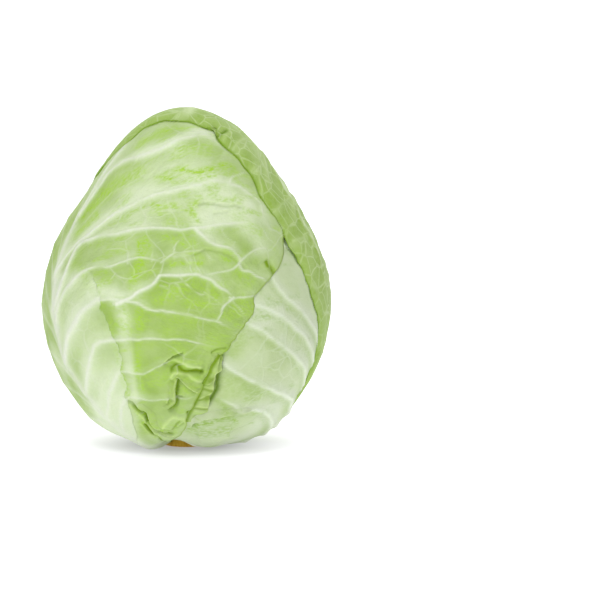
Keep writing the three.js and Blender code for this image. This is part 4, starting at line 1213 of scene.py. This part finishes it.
def leafMaterial(name):
    look, f = leafLooks[name], surfaceForm
    tint = {label: linear(*screen) for label, screen in look["colours"].items()}
    nodes = Nodes(name)
    mottle, freckles = nodes.noise(f["mottle"], 4.0), nodes.noise(f["freckles"], 5.0)
    grain = nodes.noise(f["grain"], 2.0, 0.6)
    flecks, crinkle = nodes.brushed(*f["flecks"]), nodes.brushed(*f["crinkle"])

    colour = nodes.blend(nodes.spread(mottle, 0.35, 0.65), tint["lamina"], tint["laminaDeep"])
    colour = nodes.blend(nodes.spread(freckles, 0.5, 0.65, 0, f["freckled"]), colour, tint["streak"])
    colour = nodes.blend(nodes.mask("pale"), colour, tint["pale"])
    streak = nodes.times(nodes.mask("streak"), nodes.spread(flecks, 0.38, 0.62, 0.3, 1.3))
    colour = nodes.blend(streak, colour, tint["streak"])
    # painted highlight on narrow crests, and on a flap's free edge, crimped-up parts and crossing creases
    colour = nodes.blend(nodes.times(nodes.mask("crest"), f["crested"]), colour, tint["crest"])
    # painted shade in valleys, creases and under the edges of leaves above, and the dark dried line along a
    # tear
    colour = nodes.blend(nodes.mask("fold"), colour, tint["fold"])
    threads = nodes.times(nodes.threads(*look["net"]), nodes.mask("net"))
    veined = nodes.maths("MAXIMUM", nodes.mask("vein"), nodes.maths("MULTIPLY", threads, look["netColour"]))
    veined = nodes.times(veined, nodes.spread(flecks, 0.3, 0.7, 0.85, 1.1))
    colour = nodes.blend(veined, colour, tint["vein"])
    colour = nodes.blend(nodes.times(nodes.mask("edge"), f["edged"]), colour, tint["edge"])
    colour = nodes.blend(nodes.spread(grain, 0.3, 0.7, 0.0, f["specked"]), colour, tint["laminaDeep"])
    # less shine where shade is painted
    shine = nodes.spread(nodes.mask("fold"), 0, 1, *f["shine"])
    nodes.surface(colour, nodes.spread(mottle, 0.3, 0.7, *look["roughness"]))
    nodes.put(nodes.shader.inputs["Specular IOR Level"], shine)
    for label, value in (("Weight", f["glow"]), ("Radius", f["glowRadius"]), ("Scale", f["glowScale"])):
        nodes.shader.inputs["Subsurface " + label].default_value = value

    place = nodes.add("ShaderNodeTexCoord").outputs["Object"]
    cells = nodes.add("ShaderNodeTexVoronoi", {"feature": "DISTANCE_TO_EDGE"}, Vector=place, Scale=f["pores"])
    pores = nodes.spread(cells.outputs["Distance"], 0.0, 0.12, 1.0, 0.0)
    fine = nodes.maths("ADD", nodes.maths("MULTIPLY", pores, 0.5), grain)
    raised = nodes.bump(threads, *f["netRelief"])
    raised = nodes.bump(crinkle, f["crinkleRelief"], look["crinkle"] / 1000, raised)
    nodes.put(nodes.shader.inputs["Normal"], nodes.bump(fine, *f["fineRelief"], raised))
    return nodes.material


def dress(piece, node, material):
    piece.data.materials.append(material)
    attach(piece, "root")
    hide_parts(node)


# The leaves, inside out. A leaf is held down by every leaf that lies over it.
leafOrder = [
    ("innerLeaf1", "inner_leaf_1", "inner_leaf", innerLeaf(-127, 81)),
    ("innerLeaf2", "inner_leaf_2", "inner_leaf", innerLeaf(10, 83)),
    ("innerLeaf3", "inner_leaf_3", "inner_leaf", innerLeaf(147, 85)),
    ("rightLeaf", "right_leaf", "right_leaf", rightLeaf),
    ("frontLeaf", "front_leaf", "front_leaf", frontLeaf),
    ("backLeaf", "back_leaf", "back_leaf", backLeaf),
]
leaves = [Leaf(settings) for _, _, _, settings in leafOrder]
materials = {name: leafMaterial(name) for name in leafLooks}
for index, (name, node, slot, _) in enumerate(leafOrder):
    piece = leafPiece(name, leaves[index], leaves[index + 1:])
    dress(piece, node, materials.get(name, materials["innerLeaf"]))
print("leaves made")


heartForm = {
    "sides": 216, "rows": 150, "mouth": -76.0, "top": 89.2, "inset": 1.2, "underLeaves": 0.4,
    "leaves": 5, "step": 1.2, "twist": 70.0, "twistOver": 160.0,
    "rising": 0.94, "edge": 0.95, "edgeOver": 0.05, "line": 0.97, "lineWidth": 0.02,
    "crinkle": 0.5, "crinkleSize": 9.0, "size": 70.0, "lower": 0.5, "paleSize": 20.0,
    "clearance": 1.2, "wallRows": 40, "wallOver": 1.5, "seed": 91, "paleSeed": 95,
}
stemForm = {
    # radius and height in millimetres, the cut face first and the core's tip inside the heart last
    "profile": [(0.0, 0.0), (6.0, 0.0), (12.6, 0.0), (13.6, 0.5), (14.0, 1.6), (14.2, 6.0), (14.8, 14.0),
                (16.5, 26.0), (16.0, 42.0), (13.0, 64.0), (9.0, 84.0), (5.0, 100.0), (2.0, 107.0),
                (0.0, 108.5)],
    "rim": 2, "stump": 4,                   # places in the profile
    "sides": 160, "rows": 150, "stumpRows": 60, "seed": 93,
    "fibre": 0.28, "fibreSize": 1.1, "fibreTurn": 14.0, "fibreStretch": 0.1,
    "lump": 0.5, "lumpSize": 5.0, "lumpStretch": 0.12,
    "sunken": 0.18, "dentSize": 1.6, "face": 12.2, "ring": 8.8, "ringWidth": 0.7,
    "insideFrom": 7.0, "insideOver": 5.0,
}


def stemRadius(height):
    profile = np.array(stemForm["profile"][stemForm["rim"]:])
    return np.interp(height, profile[:, 1], profile[:, 0])


def closedLathe(name, radii, heights, values):
    # rings of points round the z axis, with one point at each end to close them
    rows, sides = radii.shape
    turn = np.linspace(0, 2 * np.pi, sides, endpoint=False)
    ring = np.stack([radii * np.sin(turn), -radii * np.cos(turn), heights], -1).reshape(-1, 3)
    ends = np.array([[0, 0, heights[0].mean()], [0, 0, heights[-1].mean()]])
    at = np.arange(rows * sides).reshape(rows, sides)
    beside = np.roll(at, -1, 1)
    quads = np.stack([at[:-1], beside[:-1], beside[1:], at[1:]], -1).reshape(-1, 4)
    low, high = rows * sides, rows * sides + 1
    triangles = np.concatenate([
        np.stack([beside[0], at[0], np.full(sides, low)], -1),
        np.stack([at[-1], beside[-1], np.full(sides, high)], -1)])
    filled = {k: np.concatenate([v.ravel(), [v[0].mean(), v[-1].mean()]]) for k, v in values.items()}
    spun = np.stack([turn * radii, heights + 0 * radii, 0 * radii], -1).reshape(-1, 3)
    filled["place"] = np.concatenate([spun, spun[:1], spun[-1:]])
    return meshFrom(name, np.concatenate([ring, ends]), quads, triangles, filled)


def makeHeart():
    # out of the socket round its mouth and up over the ball: leaf edges wind up round it as sloping steps
    s = heartForm
    turn = np.linspace(0, 2 * np.pi, s["sides"], endpoint=False)
    azimuth, tilt = np.meshgrid(np.degrees(turn), np.linspace(s["mouth"], s["top"], s["rows"]))
    ways = wayAt(azimuth, tilt)
    flat = ways.reshape(-1, 3)
    covered = np.sum([leaf.cover(flat) for leaf in leaves], axis=0).reshape(tilt.shape)
    depth = headForm["layer"] * (covered + s["underLeaves"]) + s["inset"]
    winding = (azimuth - s["twist"] * (tilt - s["mouth"]) / s["twistOver"]) / 360 * s["leaves"]
    inLeaf = winding % 1
    overlap = ease(inLeaf / s["rising"]) - ease((inLeaf - s["edge"]) / s["edgeOver"])
    overlap = s["step"] * overlap * np.cos(np.radians(tilt))
    crinkle = s["crinkle"] * softNoise(flat * s["size"], s["crinkleSize"], s["seed"]).reshape(tilt.shape)
    radius = headRadius(ways) - depth - s["step"] + overlap + crinkle - s["lower"]
    outsideR, outsideZ = radius * np.cos(np.radians(tilt)), headForm["middle"] + radius * ways[..., 2]

    bottom, top = stemForm["profile"][-1][1] + s["clearance"], outsideZ[0].mean() + s["wallOver"]
    wallZ = np.linspace(bottom, top, s["wallRows"])
    wallR = np.maximum(stemRadius(wallZ) + s["clearance"], 1.0)[:, None] * np.ones(s["sides"])
    radii = np.concatenate([wallR, outsideR])
    heights = np.concatenate([wallZ[:, None] * np.ones(s["sides"]), outsideZ])
    edge = np.concatenate([np.zeros_like(wallR), bell(inLeaf - s["line"], s["lineWidth"])])
    spots = np.stack([radii, radii, heights], -1).reshape(-1, 3)
    pale = softNoise(spots, s["paleSize"], s["paleSeed"]).reshape(radii.shape)
    none = 0 * edge
    # along each leaf's edge line: its edge colour, some vein white and painted shade at the step
    values = {"net": 0.4 + none, "vein": 0.3 * edge, "crest": none, "pale": np.clip(0.5 + 0.5 * pale, 0, 1),
              "streak": none, "fold": edge * 0.4, "edge": edge}
    return closedLathe("heartLeaves", radii, heights, values)


def makeStem():
    # a turned profile with fibres down its side, a faintly sunken cut face and an uneven rim
    s = stemForm
    profile = np.array(s["profile"])
    length = np.concatenate([[0], np.cumsum(np.hypot(*np.diff(profile, axis=0).T))])
    rim, stump = length[s["rim"]], length[s["stump"]]
    wanted = np.concatenate([np.linspace(0.5, stump, s["stumpRows"]),
                             np.linspace(stump, length[-1], s["rows"] - s["stumpRows"] + 1)[1:]])
    wanted[-1] = length[-1] - 0.5
    radius = np.interp(wanted, length, profile[:, 0])[:, None]
    height = np.interp(wanted, length, profile[:, 1])[:, None]
    turn = np.linspace(0, 2 * np.pi, s["sides"], endpoint=False)[None, :]

    def unevenness(reach, stretch, size, seed):
        # noise on a drawn-out cylinder of the given radius
        x, y, z = np.broadcast_arrays(reach * np.cos(turn), reach * np.sin(turn), height * stretch)
        return softNoise(np.stack([x, y, z], -1).reshape(-1, 3), size, s["seed"] + seed).reshape(x.shape)

    fibres = unevenness(s["fibreTurn"], s["fibreStretch"], s["fibreSize"], 0)
    lumps = unevenness(radius, s["lumpStretch"], s["lumpSize"], 1)
    dents = unevenness(radius, s["lumpStretch"], s["dentSize"], 2)
    onSide = ease((wanted[:, None] - rim) / 1.5)
    onFace = 1 - ease((wanted[:, None] - rim + 0.6) / 0.6)
    radii = radius + onSide * (s["fibre"] * fibres + s["lump"] * lumps * ease(radius / 8))
    heights = height + onFace * (s["sunken"] + s["sunken"] * dents) * ease((s["face"] - radius) / 1.2)
    around = 0 * turn
    values = {"face": onFace + around, "ring": (bell(radius - s["ring"], s["ringWidth"]) + around) * onFace,
              "inside": ease((height - s["insideFrom"]) / s["insideOver"]) + around}
    return closedLathe("stemStump", radii, heights, values)


stemColours = {
    "side": (196, 150, 24), "fibre": (232, 190, 62), "blotch": (150, 106, 14), "inside": (232, 232, 196),
    "cut": (214, 196, 140), "cutBlotch": (168, 132, 70), "speck": (128, 92, 44), "ring": (132, 96, 40),
}


def stemMaterial():
    tint = {label: linear(*screen) for label, screen in stemColours.items()}
    nodes = Nodes("stemStalk")
    place = nodes.add("ShaderNodeTexCoord").outputs["Object"]
    squeeze = nodes.add("ShaderNodeMapping", Vector=place)
    squeeze.inputs["Scale"].default_value = (1.0, 1.0, 0.12)
    fibre = nodes.add("ShaderNodeTexNoise", Vector=squeeze.outputs[0], Scale=900.0, Detail=4.0).outputs["Fac"]
    blotch = nodes.noise(160.0, 4.0, 0.6)
    fine = nodes.noise(1400.0, 3.0, 0.6)
    side = nodes.blend(nodes.spread(fibre, 0.3, 0.7), tint["side"], tint["fibre"])
    side = nodes.blend(nodes.spread(blotch, 0.5, 0.75), side, tint["blotch"])
    cut = nodes.blend(nodes.spread(blotch, 0.35, 0.7), tint["cut"], tint["cutBlotch"])
    cut = nodes.blend(nodes.spread(fine, 0.55, 0.75, 0.0, 0.6), cut, tint["speck"])
    cut = nodes.blend(nodes.times(nodes.mask("ring"), 0.7), cut, tint["ring"])
    colour = nodes.blend(nodes.mask("face"), side, cut)
    colour = nodes.blend(nodes.mask("inside"), colour, tint["inside"])
    nodes.surface(colour, nodes.spread(fine, 0.3, 0.7, 0.65, 0.85))
    nodes.put(nodes.shader.inputs["Normal"], nodes.bump(nodes.maths("ADD", fibre, fine), 0.5, 0.0003))
    return nodes.material


dress(makeHeart(), "heart", materials["innerLeaf"])
dress(makeStem(), "stem", stemMaterial())
print("heart and stem made")


studio = {
    "pixels": 600, "mmPerPixel": 0.5526, "axisColumn": 187, "baseRow": 445, "distance": 1.2, "tilt": 5.0,
    "sensor": 36.0, "world": 0.27,
    # metres: half the floor's width, its front, where it bends up, the bend's radius, the wall's top
    "half": 2.5, "front": -2.5, "bendAt": 0.9, "bend": 0.7, "top": 3.0,
    # the floor's colour, how much it glows right by the object, nearby and far off, and at which distances;
    # the weaker glow by the object paints its contact shadow
    "floor": (0.33, 0.33, 0.37), "glow": (0.33, 0.95, 1.0), "glowAt": (0.022, 0.068, 0.22),
    # place, aim, size in metres and power in watts
    "lamps": {
        "keyLight": ((-0.3, -1.15, 1.3), (0, 0, 0.09), 0.5, 14.0),
        "fillLight": ((1.2, -0.9, 0.6), (0, 0, 0.09), 1.0, 1.5),
        "topLight": ((0.1, 0.1, 1.5), (0, 0, 0), 1.2, 3.5),
    },
}


def makeStage():
    # a floor that runs on into a quarter-round and a wall behind, one strip carried along x
    t = studio
    bend = np.radians(np.linspace(0, 90, 24))
    ys = [[t["front"], t["bendAt"]], t["bendAt"] + t["bend"] * np.sin(bend), [t["bendAt"] + t["bend"]]]
    zs = [[0, 0], t["bend"] - t["bend"] * np.cos(bend), [t["top"]]]
    ys, zs = 1000 * np.concatenate(ys), 1000 * np.concatenate(zs)
    xs = 1000 * np.array([-t["half"], t["half"]])
    points = np.stack([np.tile(xs, len(ys)), np.repeat(ys, 2), np.repeat(zs, 2)], -1)
    piece = meshFrom("studioFloor", points, gridFaces(len(ys), 2), np.zeros((0, 3), int))
    nodes = Nodes("studioWhite")
    nodes.surface((*t["floor"], 1), 0.9)
    nodes.shader.inputs["Specular IOR Level"].default_value = 0.1
    nodes.shader.inputs["Emission Color"].default_value = (1, 1, 1, 1)
    # the floor glows so that it looks evenly white, and glows less close to the object: a painted contact
    # shadow
    length = nodes.add("ShaderNodeVectorMath", {"operation": "LENGTH"})
    nodes.put(length.inputs[0], nodes.add("ShaderNodeTexCoord").outputs["Object"])
    away, (close, middle, edge), (contactShadowGlow, near, far) = length.outputs["Value"], t["glowAt"], t["glow"]
    glow = nodes.maths("ADD", nodes.spread(away, close, middle, contactShadowGlow, near),
                       nodes.spread(away, middle, edge, 0, far - near))
    nodes.put(nodes.shader.inputs["Emission Strength"], glow)
    piece.data.materials.append(nodes.material)


def areaLight(name, place, aim, size, energy):
    lamp = bpy.data.lights.new(name, "AREA")
    lamp.shape, lamp.size, lamp.energy = "DISK", size, energy
    light = bpy.data.objects.new(name, lamp)
    light.location = place
    light.rotation_euler = (Vector(aim) - Vector(place)).to_track_quat("-Z", "Y").to_euler()
    bpy.context.scene.collection.objects.link(light)


def makeCamera():
    scale, tilt, half = studio["mmPerPixel"] / 1000, np.radians(studio["tilt"]), studio["pixels"] // 2
    target = Vector(((half - studio["axisColumn"]) * scale, 0, (studio["baseRow"] - half) * scale))
    place = target + studio["distance"] * Vector((0, -np.cos(tilt), np.sin(tilt)))
    camera = bpy.data.objects.new("photoCamera", bpy.data.cameras.new("photoCamera"))
    camera.data.sensor_width = studio["sensor"]
    camera.data.lens = studio["sensor"] * studio["distance"] / (studio["pixels"] * scale)
    camera.location = place
    camera.rotation_euler = (target - place).to_track_quat("-Z", "Y").to_euler()
    bpy.context.scene.collection.objects.link(camera)
    bpy.context.scene.camera = camera


makeStage()
for name, lamp in studio["lamps"].items():
    areaLight(name, *lamp)
makeCamera()

world = bpy.data.worlds.new("studioWorld")
world.use_nodes = True
world.node_tree.nodes["Background"].inputs["Color"].default_value = (1, 1, 1, 1)
# a dim sky for the light, which looks white behind the floor from any side
rays, brighter = (world.node_tree.nodes.new("ShaderNode" + kind) for kind in ("LightPath", "Math"))
brighter.operation = "MAXIMUM"
brighter.inputs[1].default_value = studio["world"]
world.node_tree.links.new(rays.outputs["Is Camera Ray"], brighter.inputs[0])
world.node_tree.links.new(brighter.outputs[0], world.node_tree.nodes["Background"].inputs["Strength"])
bpy.context.scene.world = world
bpy.context.scene.view_settings.view_transform = "Standard"
print("studio made")
